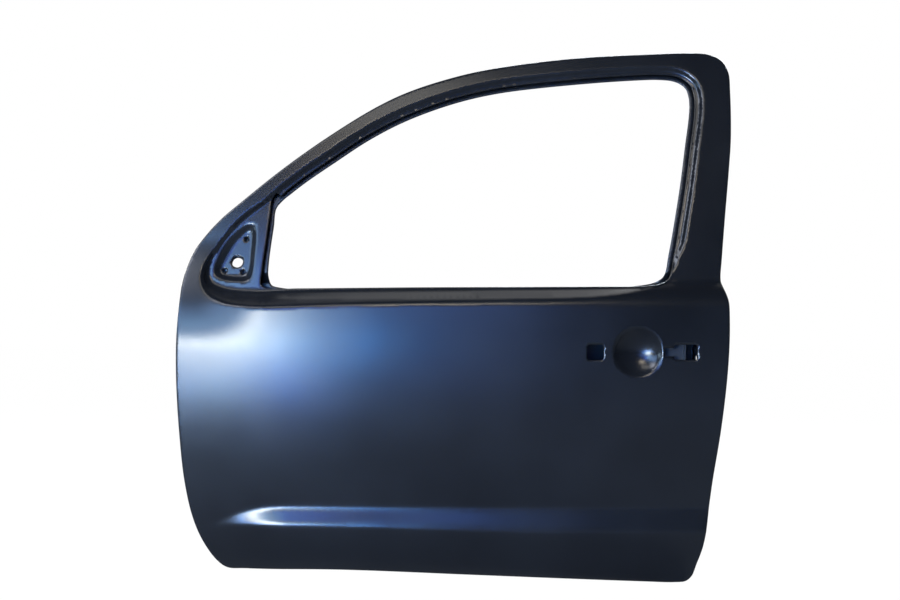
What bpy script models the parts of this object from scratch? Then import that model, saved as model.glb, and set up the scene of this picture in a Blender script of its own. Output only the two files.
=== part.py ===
"""Front door shell of a single-cab pickup, left side, in bare dip-coated steel.

Metres, +Z up. +X runs to the rear of the vehicle and -Y faces outwards. The door is drawn from
its front lower corner, and an empty then shifts it so that the origin is the centre of the upper
hinge face.
"""

import math

import bmesh
import bpy
import numpy as np
from mathutils import Matrix, Vector
from mathutils.geometry import delaunay_2d_cdt

# Overall sizes
DOOR_LENGTH = 1.200
DOOR_HEIGHT = 1.150
SHEET = 0.0008
CLEARANCE = 0.0003
FACET_ROOM = 0.0005

# Levels and places that go with the outlines, as shares of the door's height or length
waist_share = 0.417391
belt_share = 0.558261
front_blend_start_share = 0.434783
front_blend_end_share = 0.643478
ledge_top_share = 0.150000
ledge_tip_share = 0.104783
ledge_foot_share = 0.105217
crown_blend_share = 0.678261
crown_arch_share = 0.660000
hinge_wall_foot_share = 0.130435
latch_wall_foot_share = 0.234783
mirror_x_share = 0.105500
mirror_z_share = 0.596522
handle_x_share = 0.817000
handle_z_share = 0.429130
upper_hinge_share = 0.452174
lower_hinge_share = 0.217391
check_link_share = 0.300000
boot_hole_share = 0.393043
latch_share = 0.400000
beam_rear_share = 0.286957
channel_foot_share = 0.273913
front_channel_share = 0.166667
front_channel_foot_share = 0.138642
belt_strip_from_share = 0.200000
belt_strip_to_share = 0.833333

# Sections of the outer face, as depths behind its most outward point
WAIST_HEIGHT = waist_share * DOOR_HEIGHT
LOWER_TUCK = 0.042
UPPER_TUCK = 0.0041
SHOULDER_REACH = 0.150
SHOULDER_HEIGHT = 0.054
BELT_HEIGHT = belt_share * DOOR_HEIGHT
SHOULDER_START = BELT_HEIGHT - SHOULDER_HEIGHT
FRAME_FOOT_DEPTH = 0.040
FRAME_LEAN = 0.115
FRONT_CROWN = 0.022
FRONT_CROWN_LENGTH = 0.450
REAR_CROWN = 0.006
FRONT_BLEND_START = front_blend_start_share * DOOR_HEIGHT
FRONT_BLEND_END = front_blend_end_share * DOOR_HEIGHT
FRONT_BLEND_LENGTH = 0.150
FRONT_BLEND_FROM = 0.050

# Ledge and rocker along the foot
LEDGE_DEPTH = 0.014
LEDGE_TOP = ledge_top_share * DOOR_HEIGHT
LEDGE_TIP_HEIGHT = ledge_tip_share * DOOR_HEIGHT
LEDGE_TIP_REACH = 0.068
LEDGE_FULL_REACH = 0.240
LEDGE_FOOT = ledge_foot_share * DOOR_HEIGHT
LEDGE_FOOT_DROP = 0.0175
TURN_UNDER = 0.018
TURN_UNDER_HEIGHT = 0.110

# Window frame, measured outwards from the clear opening
LIP_MARGIN = 0.0095
STEP_INNER_MARGIN = 0.0165
STEP_OUTER_MARGIN = 0.0265
FRAME_STEP = 0.010
CHANNEL_DEPTH = 0.017
SILL_RETURN = 0.005

# Hem round the edge of the outer panel
HEM_RADIUS = 0.0017
HEM_RETURN = 0.011
FLANGE_START = 0.0022
FLANGE_WIDTH = 0.0125
FLANGE_OFFSET = SHEET + FACET_ROOM

# Inner panel
LAND_DEPTH = 0.022
LAND_START = 0.0155
WALL_DRAFT = 0.006
CROWN_DEPTH = 0.034
CROWN_MARGIN = 0.023
CROWN_BLEND_TOP = crown_blend_share * DOOR_HEIGHT
CROWN_ARCH_FOOT = crown_arch_share * DOOR_HEIGHT
CHANNEL_FADE = 0.020
CHANNEL_RISE = 0.003
SILL_DEPTH = 0.094
TRIM_DEPTH = 0.105
SILL_BAND_HEIGHT = 0.042
SILL_BAND_FOOT = BELT_HEIGHT - SILL_BAND_HEIGHT
TRIM_STEP_HEIGHT = 0.017
TRIM_TOP = SILL_BAND_FOOT - TRIM_STEP_HEIGHT
HINGE_WALL = 0.058
LATCH_WALL_SPACE = 0.085
LATCH_WALL = DOOR_LENGTH - LATCH_WALL_SPACE
HINGE_WALL_FOOT = hinge_wall_foot_share * DOOR_HEIGHT
LATCH_WALL_FOOT = latch_wall_foot_share * DOOR_HEIGHT
WALL_RISE = 0.002
WALL_TOP = TRIM_TOP + WALL_RISE
WALL_EASE = 0.040
WALL_FADE = 0.020

# Speaker and clip holes
SPEAKER_RADIUS = 0.076
SPEAKER_RING = 0.092
SPEAKER_RISE = 0.005
CLIP_HOLE_RADIUS = 0.004

# Mirror pocket
MIRROR_X = mirror_x_share * DOOR_LENGTH
MIRROR_Z = mirror_z_share * DOOR_HEIGHT
MIRROR_HOLE_RADIUS = 0.0125
MIRROR_INNER_HOLE_RADIUS = 0.0125
MIRROR_INNER_DROP = 0.004
POCKET_DEPTH = 0.010

# Outside handle
HANDLE_X = handle_x_share * DOOR_LENGTH
HANDLE_Z = handle_z_share * DOOR_HEIGHT
CUP_RADIUS = 0.052
CUP_DEPTH = 0.022
APERTURE_FRONT_SPACE = 0.0899
APERTURE_FRONT_X = HANDLE_X - APERTURE_FRONT_SPACE
APERTURE_FRONT_LENGTH = 0.035
APERTURE_HEIGHT = 0.032
APERTURE_REAR_SPACE = 0.1006
APERTURE_REAR_X = HANDLE_X + APERTURE_REAR_SPACE
APERTURE_REAR_LENGTH = 0.050
APERTURE_NECK_LENGTH = 0.0205
APERTURE_NECK_HEIGHT = 0.017

# Hinges, check link and latch
UPPER_HINGE_Z = upper_hinge_share * DOOR_HEIGHT
LOWER_HINGE_Z = lower_hinge_share * DOOR_HEIGHT
HINGE_Y = 0.070
HINGE_BOLT_SPREAD = 0.052
BOLT_HOLE_RADIUS = 0.0055
CHECK_LINK_Z = check_link_share * DOOR_HEIGHT
CHECK_SLOT_HEIGHT = 0.012
CHECK_SLOT_LENGTH = 0.022
CHECK_BOLT_SPREAD = 0.040
BOOT_HOLE_RADIUS = 0.014
BOOT_HOLE_Z = boot_hole_share * DOOR_HEIGHT
LATCH_Y = 0.070
LATCH_Z = latch_share * DOOR_HEIGHT
LATCH_SLOT_LENGTH = 0.026
LATCH_SLOT_HEIGHT = 0.050
LATCH_BOLT_SPREAD = 0.074

# Reinforcements
REINFORCEMENT = 0.002
HINGE_PLATE_LENGTH = 0.044
HINGE_PLATE_HEIGHT = 0.084
CHECK_PLATE_HEIGHT = 0.056
LATCH_PLATE_LENGTH = 0.048
LATCH_PLATE_HEIGHT = 0.110
NUT_SIZE = 0.0075
NUT_HEIGHT = 0.007
NUT_BORE = 0.0042
PLATE_CORNER = 0.006
BRIDGE_MARGIN = 0.015
BRIDGE_HEIGHT = 0.064
BRIDGE_SHEET = 0.0015
BRIDGE_STATIONS = 13
PULL_PLATE_LENGTH = 0.110
PULL_PLATE_HEIGHT = 0.034
SLOPE_ROOM = 1.05

# Side impact beam
BEAM_RADIUS = 0.0155
BEAM_WALL = 0.002
BEAM_Y = 0.038
BEAM_REAR_Z = beam_rear_share * DOOR_HEIGHT
BEAM_END_SPACE = 0.009
BRACKET_HEIGHT = 0.052
BRACKET_SPACE = 0.011
BEAM_FRONT_Z = CHECK_LINK_Z + (CHECK_PLATE_HEIGHT + BRACKET_HEIGHT) / 2 + BRACKET_SPACE
BRACKET_REACH = 0.080
BRACKET_FLANGE = 0.038
PAD_LENGTH = 0.042
PAD_HEIGHT = 0.020

# Glass channels and belt
CHANNEL_WIDTH = 0.014
CHANNEL_THICKNESS = 0.012
CHANNEL_SHEET = 0.0012
CHANNEL_HEAD_RISE = 0.010
CHANNEL_HEAD = SILL_BAND_FOOT + CHANNEL_HEAD_RISE
CHANNEL_FOOT = channel_foot_share * DOOR_HEIGHT
CHANNEL_FOOT_Y = 0.070
BELT_STRIP_HEIGHT = 0.028
BELT_STRIP_SHEET = 0.0012
BELT_STRIP_FROM = belt_strip_from_share * DOOR_LENGTH
BELT_STRIP_TO = belt_strip_to_share * DOOR_LENGTH
FRONT_CHANNEL_X = front_channel_share * DOOR_LENGTH
FRONT_CHANNEL_FOOT_X = front_channel_foot_share * DOOR_LENGTH
REAR_CHANNEL_SPACE = 0.065
REAR_CHANNEL_X = LATCH_WALL - REAR_CHANNEL_SPACE
REAR_CHANNEL_FOOT_SPACE = 0.10925
REAR_CHANNEL_FOOT_X = LATCH_WALL - REAR_CHANNEL_FOOT_SPACE
CHANNEL_BRACKET_RISE = 0.035
CHANNEL_BRACKET_Z = CHANNEL_FOOT + CHANNEL_BRACKET_RISE
CHANNEL_BRACKET_HEIGHT = 0.026
CHANNEL_BRACKET_REACH = 0.022

# Mesh density
EDGE_STEP = 0.060
EDGE_BEND = math.radians(9)
FILL_STEP = 0.062
DENSE_STEP = 0.004
ARCH_STEP = 0.020
SLOPE_STEP = 0.0005
LINE_SPACE = 0.0025
MERGE = 0.000001
SMALL = 0.000000001
HOLE_SIDES = 8
CLIP_SIDES = 6
CUP_SIDES = 24
BEAM_SIDES = 16
LEDGE_STATIONS = 20


# Outlines, as shares of the door's length and height
perimeter_shares = (
    (0.1250, 0.0261), (0.0900, 0.0270), (0.0717, 0.0409), (0.0471, 0.0801), (0.0301, 0.1252),
    (0.0170, 0.1925), (0.0092, 0.2783), (0.0046, 0.3652), (0.0040, 0.4435), (0.0071, 0.5130),
    (0.0112, 0.5583), (0.0189, 0.5883), (0.0308, 0.6182), (0.0518, 0.6483), (0.0783, 0.6783),
    (0.1119, 0.7085), (0.1828, 0.7693), (0.2631, 0.8308), (0.3565, 0.8931), (0.4200, 0.9248),
    (0.5168, 0.9567), (0.5958, 0.9728), (0.7210, 0.9890), (0.8373, 0.9963), (0.9260, 0.9997),
    (0.9633, 0.9974), (0.9875, 0.9843), (0.9988, 0.9609), (1.0000, 0.9217), (0.9968, 0.8311),
    (0.9904, 0.7693), (0.9798, 0.6779), (0.9720, 0.6029), (0.9685, 0.5635), (0.9708, 0.5504),
    (0.9772, 0.5248), (0.9788, 0.4870), (0.9777, 0.4348), (0.9732, 0.3711), (0.9633, 0.2830),
    (0.9503, 0.1943), (0.9417, 0.1217), (0.9333, 0.0696), (0.9236, 0.0364), (0.9167, 0.0130),
    (0.9067, 0.0026), (0.8875, 0.0003), (0.8247, 0.0024), (0.5407, 0.0152), (0.2917, 0.0261),
)
arch_shares = (
    (0.1871, 0.7144), (0.2228, 0.7443), (0.2803, 0.7865), (0.3380, 0.8273), (0.3961, 0.8607),
    (0.4545, 0.8863), (0.5133, 0.9063), (0.5722, 0.9203), (0.6311, 0.9293), (0.7494, 0.9418),
    (0.8300, 0.9477), (0.8720, 0.9490), (0.9010, 0.9455), (0.9200, 0.9340), (0.9270, 0.9130),
    (0.9260, 0.8809), (0.9162, 0.8179), (0.9043, 0.7403), (0.8934, 0.6791), (0.8850, 0.6337),
)
opening_foot_shares = (
    (0.8788, 0.6035), (0.8748, 0.5809), (0.8690, 0.5652), (0.8528, 0.5565), (0.8276, 0.5517),
    (0.7900, 0.5485), (0.7083, 0.5470), (0.4167, 0.5457), (0.2200, 0.5450), (0.1792, 0.5483),
    (0.1654, 0.5530), (0.1615, 0.5640), (0.1622, 0.5960), (0.1653, 0.6262), (0.1700, 0.6641),
    (0.1735, 0.6970),
)
lip_foot_shares = (
    (0.8866, 0.6017), (0.8820, 0.5791), (0.8745, 0.5620), (0.8600, 0.5545), (0.8375, 0.5507),
    (0.7500, 0.5496), (0.4167, 0.5483), (0.2200, 0.5465), (0.1600, 0.5465), (0.1500, 0.5520),
    (0.1508, 0.5739), (0.1571, 0.6296), (0.1637, 0.6870), (0.1668, 0.7130), (0.1760, 0.7260),
)
step_foot_shares = (
    ((0.8961, 0.6085), (0.8880, 0.6030)), ((0.8850, 0.5808), (0.8740, 0.5720)),
    ((0.8625, 0.5591), (0.8540, 0.5605)), ((0.8208, 0.5409), (0.8100, 0.5560)),
    ((0.7500, 0.5270), (0.7500, 0.5552)), ((0.5755, 0.5200), (0.5755, 0.5545)),
    ((0.4150, 0.5165), (0.4150, 0.5535)), ((0.2917, 0.5130), (0.2917, 0.5520)),
    ((0.1883, 0.5091), (0.1980, 0.5478)), ((0.1404, 0.5087), (0.1488, 0.5445)),
    ((0.1154, 0.5111), (0.1188, 0.5462)), ((0.0928, 0.5152), (0.0922, 0.5490)),
    ((0.0735, 0.5230), (0.0728, 0.5546)), ((0.0588, 0.5322), (0.0600, 0.5621)),
    ((0.0470, 0.5480), (0.0556, 0.5728)), ((0.0436, 0.5690), (0.0558, 0.5846)),
    ((0.0480, 0.5897), (0.0592, 0.5977)), ((0.0564, 0.6069), (0.0678, 0.6146)),
    ((0.0699, 0.6250), (0.0813, 0.6345)), ((0.0846, 0.6463), (0.0959, 0.6541)),
    ((0.1019, 0.6699), (0.1184, 0.6757)), ((0.1292, 0.6952), (0.1456, 0.6981)),
    ((0.1566, 0.7140), (0.1695, 0.7180)),
)
pocket_rim_shares = (
    (0.1336, 0.6701), (0.1400, 0.6640), (0.1411, 0.6540), (0.1385, 0.6150), (0.1356, 0.5807),
    (0.1330, 0.5650), (0.1260, 0.5585), (0.1100, 0.5580), (0.0850, 0.5610), (0.0664, 0.5696),
    (0.0640, 0.5808), (0.0742, 0.6174), (0.0960, 0.6490), (0.1180, 0.6670),
)
pocket_floor_shares = (
    (0.1272, 0.6530), (0.1310, 0.6430), (0.1300, 0.6100), (0.1280, 0.5850), (0.1240, 0.5750),
    (0.1150, 0.5700), (0.0950, 0.5705), (0.0800, 0.5740), (0.0760, 0.5810), (0.0860, 0.6020),
    (0.0990, 0.6260), (0.1150, 0.6440),
)
main_access_shares = (
    (0.3100, 0.2350), (0.6500, 0.2250), (0.6850, 0.2500), (0.6900, 0.4050), (0.6650, 0.4300),
    (0.3350, 0.4300), (0.2950, 0.4050), (0.2850, 0.2600),
)
rear_access_shares = (
    (0.7450, 0.1300), (0.8650, 0.1350), (0.8850, 0.1550), (0.8900, 0.2650), (0.8700, 0.2850),
    (0.7600, 0.2850), (0.7350, 0.2650), (0.7250, 0.1500),
)
front_access_shares = (
    (0.1250, 0.3300), (0.2050, 0.3300), (0.2250, 0.3500), (0.2250, 0.4350), (0.2050, 0.4550),
    (0.1250, 0.4550), (0.1050, 0.4350), (0.1050, 0.3500),
)
handle_access_shares = (
    (0.7750, 0.3350), (0.8550, 0.3350), (0.8750, 0.3500), (0.8750, 0.3900), (0.8550, 0.4050),
    (0.7750, 0.4050), (0.7550, 0.3900), (0.7550, 0.3500),
)
speaker_place_shares = (0.1950, 0.1850)
crease_share = 0.28
clip_place_shares = (
    (0.0750, 0.2700), (0.0750, 0.4200), (0.2700, 0.4820), (0.5000, 0.4820), (0.7250, 0.4820),
    (0.9100, 0.3200), (0.8950, 0.1050), (0.6800, 0.1000), (0.4500, 0.1000), (0.3000, 0.1050),
)
mirror_nut_shares = ((0.1215, 0.6390), (0.0834, 0.5800), (0.1165, 0.5775))
pad_place_shares = (0.22, 0.41, 0.60, 0.79)
wall_foot_shares = (
    (1.0237, 0.6480), (1.0123, 0.6000), (1.0020, 0.5550), (1.0000, 0.5200), (1.0000, 0.4400),
    (1.0000, 0.3400), (1.0000, 0.2400), (0.9975, 0.1900), (0.9850, 0.1200), (0.9670, 0.0700),
    (0.9385, 0.0470), (0.8870, 0.0400), (0.7170, 0.0480), (0.4560, 0.0580), (0.2290, 0.0630),
    (0.0930, 0.0640), (0.0416, 0.0760), (0.0110, 0.1050), (0.0010, 0.1400), (0.0000, 0.1600),
    (0.0000, 0.1800), (0.0000, 0.3500), (0.0000, 0.5000), (0.0000, 0.5200), (0.0000, 0.5400),
    (0.0003, 0.5800), (0.0064, 0.6170),
)
pull_place_shares = (0.5500, 0.4620)
cup_ring_shares = (1.0, 0.88, 0.66, 0.33)
wall_edge_share = 0.14
roll_share = 0.25


def scaled(shares):
    return np.array(shares) * (DOOR_LENGTH, DOOR_HEIGHT)


def ease(value):
    value = np.clip(value, 0, 1)
    return value * value * (3 - 2 * value)


def even(value, bend):
    """0 to 1 at a steady rate, with a share of the run rounded at each end."""
    value = np.clip(value, 0, 1)
    rate = 1 / (1 - bend)
    low = rate * value**2 / (2 * bend)
    high = 1 - rate * (1 - value) ** 2 / (2 * bend)
    middle = rate * (value - bend / 2)
    return np.where(value < bend, low, np.where(value > 1 - bend, high, middle))


def catmull(points, knots, t):
    """One point of a Catmull-Rom curve, by its four control points and their knots."""
    row = list(points)
    for level in (1, 2):
        row = [
            ((knots[k + level] - t) * row[k] + (t - knots[k]) * row[k + 1]) / (knots[k + level] - knots[k])
            for k in range(len(row) - 1)
        ]
    return ((knots[2] - t) * row[0] + (t - knots[1]) * row[1]) / (knots[2] - knots[1])


def spline(points, closed=True, step=None):
    """Dense points of a smooth curve through the given ones."""
    points = np.asarray(points, float)
    step = step or DENSE_STEP
    if closed:
        padded = np.vstack([points[-1], points, points[:2]])
    else:
        padded = np.vstack([2 * points[0] - points[1], points, 2 * points[-1] - points[-2]])
    found = []
    for four in zip(padded, padded[1:], padded[2:], padded[3:]):
        gaps = [math.sqrt(np.linalg.norm(b - a)) for a, b in zip(four, four[1:])]
        knots = np.cumsum([0] + gaps)
        count = max(1, round(np.linalg.norm(four[2] - four[1]) / step))
        for t in np.linspace(knots[1], knots[2], count, endpoint=False):
            found.append(catmull(four, knots, t))
    return np.array(found if closed else found + [points[-1]])


def area(loop):
    x, z = np.asarray(loop).T
    return 0.5 * np.sum(x * np.roll(z, -1) - np.roll(x, -1) * z)


def inset(loop, margin):
    """The closed loop moved towards its inside, with its points kept in step."""
    ahead = np.roll(loop, -1, 0) - np.roll(loop, 1, 0)
    ahead = ahead / np.linalg.norm(ahead, axis=1)[:, None]
    inward = np.column_stack([-ahead[:, 1], ahead[:, 0]]) * np.sign(area(loop))
    return loop + inward * margin


def inside(points, loop):
    a, b = np.asarray(loop), np.roll(loop, -1, 0)
    x, z = points[:, :1], points[:, 1:2]
    spans = (a[:, 1] > z) != (b[:, 1] > z)
    rise = np.where(b[:, 1] == a[:, 1], 1, b[:, 1] - a[:, 1])
    crossing = (b[:, 0] - a[:, 0]) * (z - a[:, 1]) / rise + a[:, 0]
    return (spans & (x < crossing)).sum(1) % 2 == 1


def distance(points, line, closed=True):
    a = np.asarray(line, float)
    b = np.roll(a, -1, 0) if closed else a[1:]
    a = a if closed else a[:-1]
    along = b - a
    share = ((points[:, None] - a) * along).sum(2) / (along**2).sum(1)
    nearest = a + np.clip(share, 0, 1)[..., None] * along
    return np.linalg.norm(points[:, None] - nearest, axis=2).min(1)


def ramp(points, outer, inner):
    """0 outside the outer loop, 1 inside the inner one, rising evenly between them."""
    far, near = distance(points, outer), distance(points, inner)
    share = np.where(inside(points, inner), 1, far / (far + near + SMALL))
    return np.where(inside(points, outer), share, 0)


def circle(x, z, radius, sides=None):
    turns = np.arange(sides or HOLE_SIDES) * 2 * math.pi / (sides or HOLE_SIDES)
    return np.column_stack([x + radius * np.cos(turns), z + radius * np.sin(turns)])


def rounded_box(x, z, length, height, corner, steps=3):
    """A rectangle with round corners, about its centre."""
    found = []
    for quarter, (sx, sz) in enumerate(((1, 1), (-1, 1), (-1, -1), (1, -1))):
        for k in range(steps):
            turn = (quarter + k / (steps - 1)) * math.pi / 2
            found.append((
                x + sx * (length / 2 - corner) + corner * math.cos(turn),
                z + sz * (height / 2 - corner) + corner * math.sin(turn),
            ))
    return np.array(found)


def arch(margin):
    """The frame's head and rear as control points, a margin outside the clear opening."""
    line = spline(scaled(arch_shares), closed=False)
    ahead = np.gradient(line, axis=0)
    ahead /= np.linalg.norm(ahead, axis=1)[:, None]
    moved = line + np.column_stack([-ahead[:, 1], ahead[:, 0]]) * margin
    return moved[:: max(1, round(ARCH_STEP / DENSE_STEP))]


def framed(margin, foot_shares):
    return spline(np.vstack([arch(margin), scaled(foot_shares)]))


def wall_foot():
    """Where the deep wall starts: the frame's crown, then down round the trim face."""
    crown = inset(PERIMETER, CROWN_MARGIN)
    crown = crown[crown[:, 1] > CROWN_ARCH_FOOT][:: max(1, round(ARCH_STEP / DENSE_STEP))]
    foot = np.array(wall_foot_shares) * (LATCH_WALL - HINGE_WALL, DOOR_HEIGHT) + (HINGE_WALL, 0)
    return spline(np.vstack([crown, foot]))


def frame_depth(z):
    rise = (z - BELT_HEIGHT) / (DOOR_HEIGHT - BELT_HEIGHT)
    return FRAME_FOOT_DEPTH + FRAME_LEAN * (0.6 * rise + 0.4 * rise * np.abs(rise))


def body_depth(z):
    below = np.clip((WAIST_HEIGHT - z) / WAIST_HEIGHT, 0, None)
    above = np.clip((z - WAIST_HEIGHT) / SHOULDER_REACH, 0, None)
    return LOWER_TUCK * below**2 + UPPER_TUCK * above**2


def plan_depth(x):
    front = np.clip((FRONT_CROWN_LENGTH - x) / FRONT_CROWN_LENGTH, 0, None)
    rear = np.clip((x - DOOR_LENGTH + FRONT_CROWN_LENGTH) / FRONT_CROWN_LENGTH, 0, None)
    return FRONT_CROWN * front**2 + REAR_CROWN * rear**2


def ledge_depth(x, z):
    """How far the rocker stands out, which is negative, and then turns under."""
    reach = np.clip((x - LEDGE_TIP_REACH) / (LEDGE_FULL_REACH - LEDGE_TIP_REACH), 0, 1)
    top = LEDGE_TIP_HEIGHT + (LEDGE_TOP - LEDGE_TIP_HEIGHT) * (1 - (1 - reach) ** 2.5)
    foot = LEDGE_FOOT - LEDGE_FOOT_DROP * ease((x - LEDGE_FULL_REACH) / (DOOR_LENGTH / 2))
    drop = (top - z) / np.maximum(top - foot, LEDGE_FOOT_DROP / 2)
    under = np.clip((TURN_UNDER_HEIGHT - z) / TURN_UNDER_HEIGHT, 0, None)
    return TURN_UNDER * under**2 - LEDGE_DEPTH * ease(reach) * even(drop, crease_share)


def smooth_depth(x, z):
    """The outer face without its shoulder, step, ledge and pockets."""
    lean = ease((z - FRONT_BLEND_START) / (FRONT_BLEND_END - FRONT_BLEND_START))
    return body_depth(z) * (1 - lean) + frame_depth(z) * lean + plan_depth(x)


def plain_depth(x, z):
    """The outer face with its shoulder, which dies away towards the front."""
    rise = np.clip((z - SHOULDER_START) / (BELT_HEIGHT - SHOULDER_START), 0, 1)
    roll = rise**2 * (1 + roll_share * (1 - rise))
    sharp = body_depth(z) * (1 - roll) + frame_depth(z) * roll + plan_depth(x)
    front = ease((x - FRONT_BLEND_FROM) / FRONT_BLEND_LENGTH)
    return sharp * front + smooth_depth(x, z) * (1 - front)


def sunk_depth(x, z):
    """The face inside the pressed step: the sail and the land round the glass."""
    return frame_depth(z) + plan_depth(x) + FRAME_STEP


def pocket_depth(x, z):
    """The flat floor of the mirror pocket."""
    run = SLOPE_STEP
    here = sunk_depth(MIRROR_X, MIRROR_Z)
    lean = (sunk_depth(MIRROR_X, MIRROR_Z + run) - here) / run
    turn = (sunk_depth(MIRROR_X + run, MIRROR_Z) - here) / run
    return here + lean * (z - MIRROR_Z) + turn * (x - MIRROR_X) + POCKET_DEPTH


def cup_depth(x, z):
    """The bowl behind the outside handle."""
    ball = (CUP_RADIUS**2 + CUP_DEPTH**2) / (2 * CUP_DEPTH)
    off = np.hypot(x - HANDLE_X, z - HANDLE_Z)
    return np.sqrt(np.maximum(ball**2 - np.minimum(off, CUP_RADIUS) ** 2, 0)) - (ball - CUP_DEPTH)


def skin_depth(points):
    """The finished outer face, at (x, z) points."""
    x, z = points[:, 0], points[:, 1]
    step = ease(ramp(points, STEP_OUTER, STEP_INNER))
    pocket = ease(ramp(points, POCKET_RIM, POCKET_FLOOR))
    depth = plain_depth(x, z) * (1 - step) + sunk_depth(x, z) * step
    depth = depth * (1 - pocket) + pocket_depth(x, z) * pocket
    return depth + ledge_depth(x, z) + cup_depth(x, z)


def box_depth(points):
    """The inner panel inside its deep wall: frame crown, sill band and trim face."""
    x, z = points[:, 0], points[:, 1]
    crown = smooth_depth(x, z) + CROWN_DEPTH
    band = ease((CROWN_BLEND_TOP - z) / (CROWN_BLEND_TOP - BELT_HEIGHT))
    upper = crown * (1 - band) + SILL_DEPTH * band
    low = ease((SILL_BAND_FOOT - z) / (SILL_BAND_FOOT - TRIM_TOP))
    speaker = np.hypot(x - SPEAKER[0], z - SPEAKER[1])
    ring = ease((SPEAKER_RING - speaker) / SPEAKER_RISE)
    return upper * (1 - low) + (TRIM_DEPTH + SPEAKER_RISE * ring) * low


def inner_depth(points):
    """The cavity side of the inner panel inside its hem flange, at (x, z) points."""
    x, z = points[:, 0], points[:, 1]
    land = smooth_depth(x, z) + LAND_DEPTH
    wall = ramp(points, WALL_FOOT, WALL_HEAD)
    channel = ramp(points, CHANNEL_EDGE, LIP) * np.clip((z - BELT_HEIGHT) / CHANNEL_FADE, 0, 1)
    depth = land * (1 - wall) + box_depth(points) * wall
    return depth * (1 - channel) + (sunk_depth(x, z) + CHANNEL_DEPTH) * channel


def placed(points, depth):
    return np.column_stack([points[:, 0], depth, points[:, 1]])


def normals(points, depth_of, depth):
    """Unit normals out of the face, by stepping a little each way."""
    step = SLOPE_STEP
    across = (depth_of(points + (step, 0)) - depth) / step
    up = (depth_of(points + (0, step)) - depth) / step
    normal = np.column_stack([across, -np.ones(len(points)), up])
    return normal / np.linalg.norm(normal, axis=1)[:, None]


def squared(points):
    """Draws the draft of the hinge and latch walls in, so that they stand square."""
    x, z = points[:, 0], points[:, 1]
    spans = (
        (HINGE_WALL, 1, HINGE_WALL_FOOT),
        (LATCH_WALL, -1, LATCH_WALL_FOOT),
    )
    for wall, way, foot in spans:
        beyond = (x - wall) * way
        pull = np.where(beyond <= WALL_DRAFT, beyond, WALL_DRAFT * (1 - (beyond - WALL_DRAFT) / WALL_EASE))
        window = ease((z - foot + WALL_EASE) / WALL_EASE) * ease((WALL_TOP + WALL_FADE - z) / WALL_FADE)
        x = x - way * np.clip(pull, 0, None) * window
    return np.column_stack([x, z])


def thin(line, step=None, bend=None):
    """Which points of a dense line to keep, closer together where it turns."""
    leg = np.diff(line, axis=0)
    length = np.linalg.norm(leg, axis=1)
    way = leg / length[:, None]
    turn = np.arccos(np.clip((way[1:] * way[:-1]).sum(1), -1, 1))
    keep, run, turned = [0], 0, 0
    for k in range(1, len(line) - 1):
        run += length[k - 1]
        turned += turn[k - 1]
        if run >= (step or EDGE_STEP) or turned >= (bend or EDGE_BEND):
            keep.append(k)
            run = turned = 0
    return keep


def stations(line, depth_of):
    """The kept points of a closed line, with the ones where it crosses the belt and the ledge."""
    kept = set(thin(on_face(line, depth_of)))
    for level in (BELT_HEIGHT, LEDGE_TOP, LEDGE_FOOT - LEDGE_FOOT_DROP):
        above = line[:, 1] > level
        kept.update(np.flatnonzero(above != np.roll(above, -1)).tolist())
    return sorted(kept)


def on_face(line, depth_of):
    return placed(line, depth_of(line))


def thinned(line, depth_of, step=None, bend=None):
    return line[thin(on_face(line, depth_of), step, bend)]


def stretches(line, closed, walls, space):
    """The edges of a feature line that keep clear of the holes and the rim."""
    clear = inside(line, walls[0])
    for number, wall in enumerate(walls):
        clear &= distance(line, wall) > space
        if number:
            clear &= ~inside(line, wall)
    count = len(line)
    pairs = [(k, (k + 1) % count) for k in range(count if closed else count - 1)]
    return clear, [pair for pair in pairs if clear[pair[0]] and clear[pair[1]]]


def filling(rim, holes, lines, step):
    """Points spread evenly over the patch, clear of every line in it."""
    low, high = rim.min(0), rim.max(0)
    row = step * math.sqrt(3) / 2
    rows, columns = math.ceil((high[1] - low[1]) / row), math.ceil((high[0] - low[0]) / step)
    grid = np.array([
        (low[0] + (i + 0.5 * (j % 2)) * step, low[1] + j * row) for j in range(rows) for i in range(columns)
    ])
    keep = inside(grid, rim) & (distance(grid, rim) > step / 2)
    for hole in holes:
        keep &= ~inside(grid, hole) & (distance(grid, hole) > step / 2)
    for line, closed in lines:
        keep &= distance(grid, line, closed) > step / 2
    return grid[keep]


def patch(rim, holes, lines, step):
    """A triangle net over (x, z): its points, its faces, and where the rim and hole points went."""
    points, edges, loops = [], [], []
    for loop in [rim] + holes:
        first = len(points)
        points.extend(loop)
        edges.extend((first + k, first + (k + 1) % len(loop)) for k in range(len(loop)))
        loops.append(range(first, len(points)))
    for line, closed in lines:
        clear, pairs = stretches(line, closed, [rim] + holes, LINE_SPACE)
        place = np.cumsum(clear) - 1 + len(points)
        points.extend(line[clear])
        edges.extend((int(place[a]), int(place[b])) for a, b in pairs)
    points.extend(filling(rim, holes, lines, step))
    made, _, faces, origin, _, _ = delaunay_2d_cdt([Vector(p) for p in points], edges, [], 0, MERGE)
    made = np.array(made)
    faces = np.array(faces)
    middle = made[faces].mean(1)
    keep = inside(middle, rim)
    for hole in holes:
        keep &= ~inside(middle, hole)
    target = {old: new for new, olds in enumerate(origin) for old in olds}
    return made, faces[keep], [[target[k] for k in loop] for loop in loops]


def strip(inner, outer):
    """Triangles between two closed rings of point numbers, all split the same way."""
    faces = []
    for k in range(len(inner)):
        after = (k + 1) % len(inner)
        faces.append((inner[k], inner[after], outer[after]))
        faces.append((inner[k], outer[after], outer[k]))
    return faces


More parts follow.
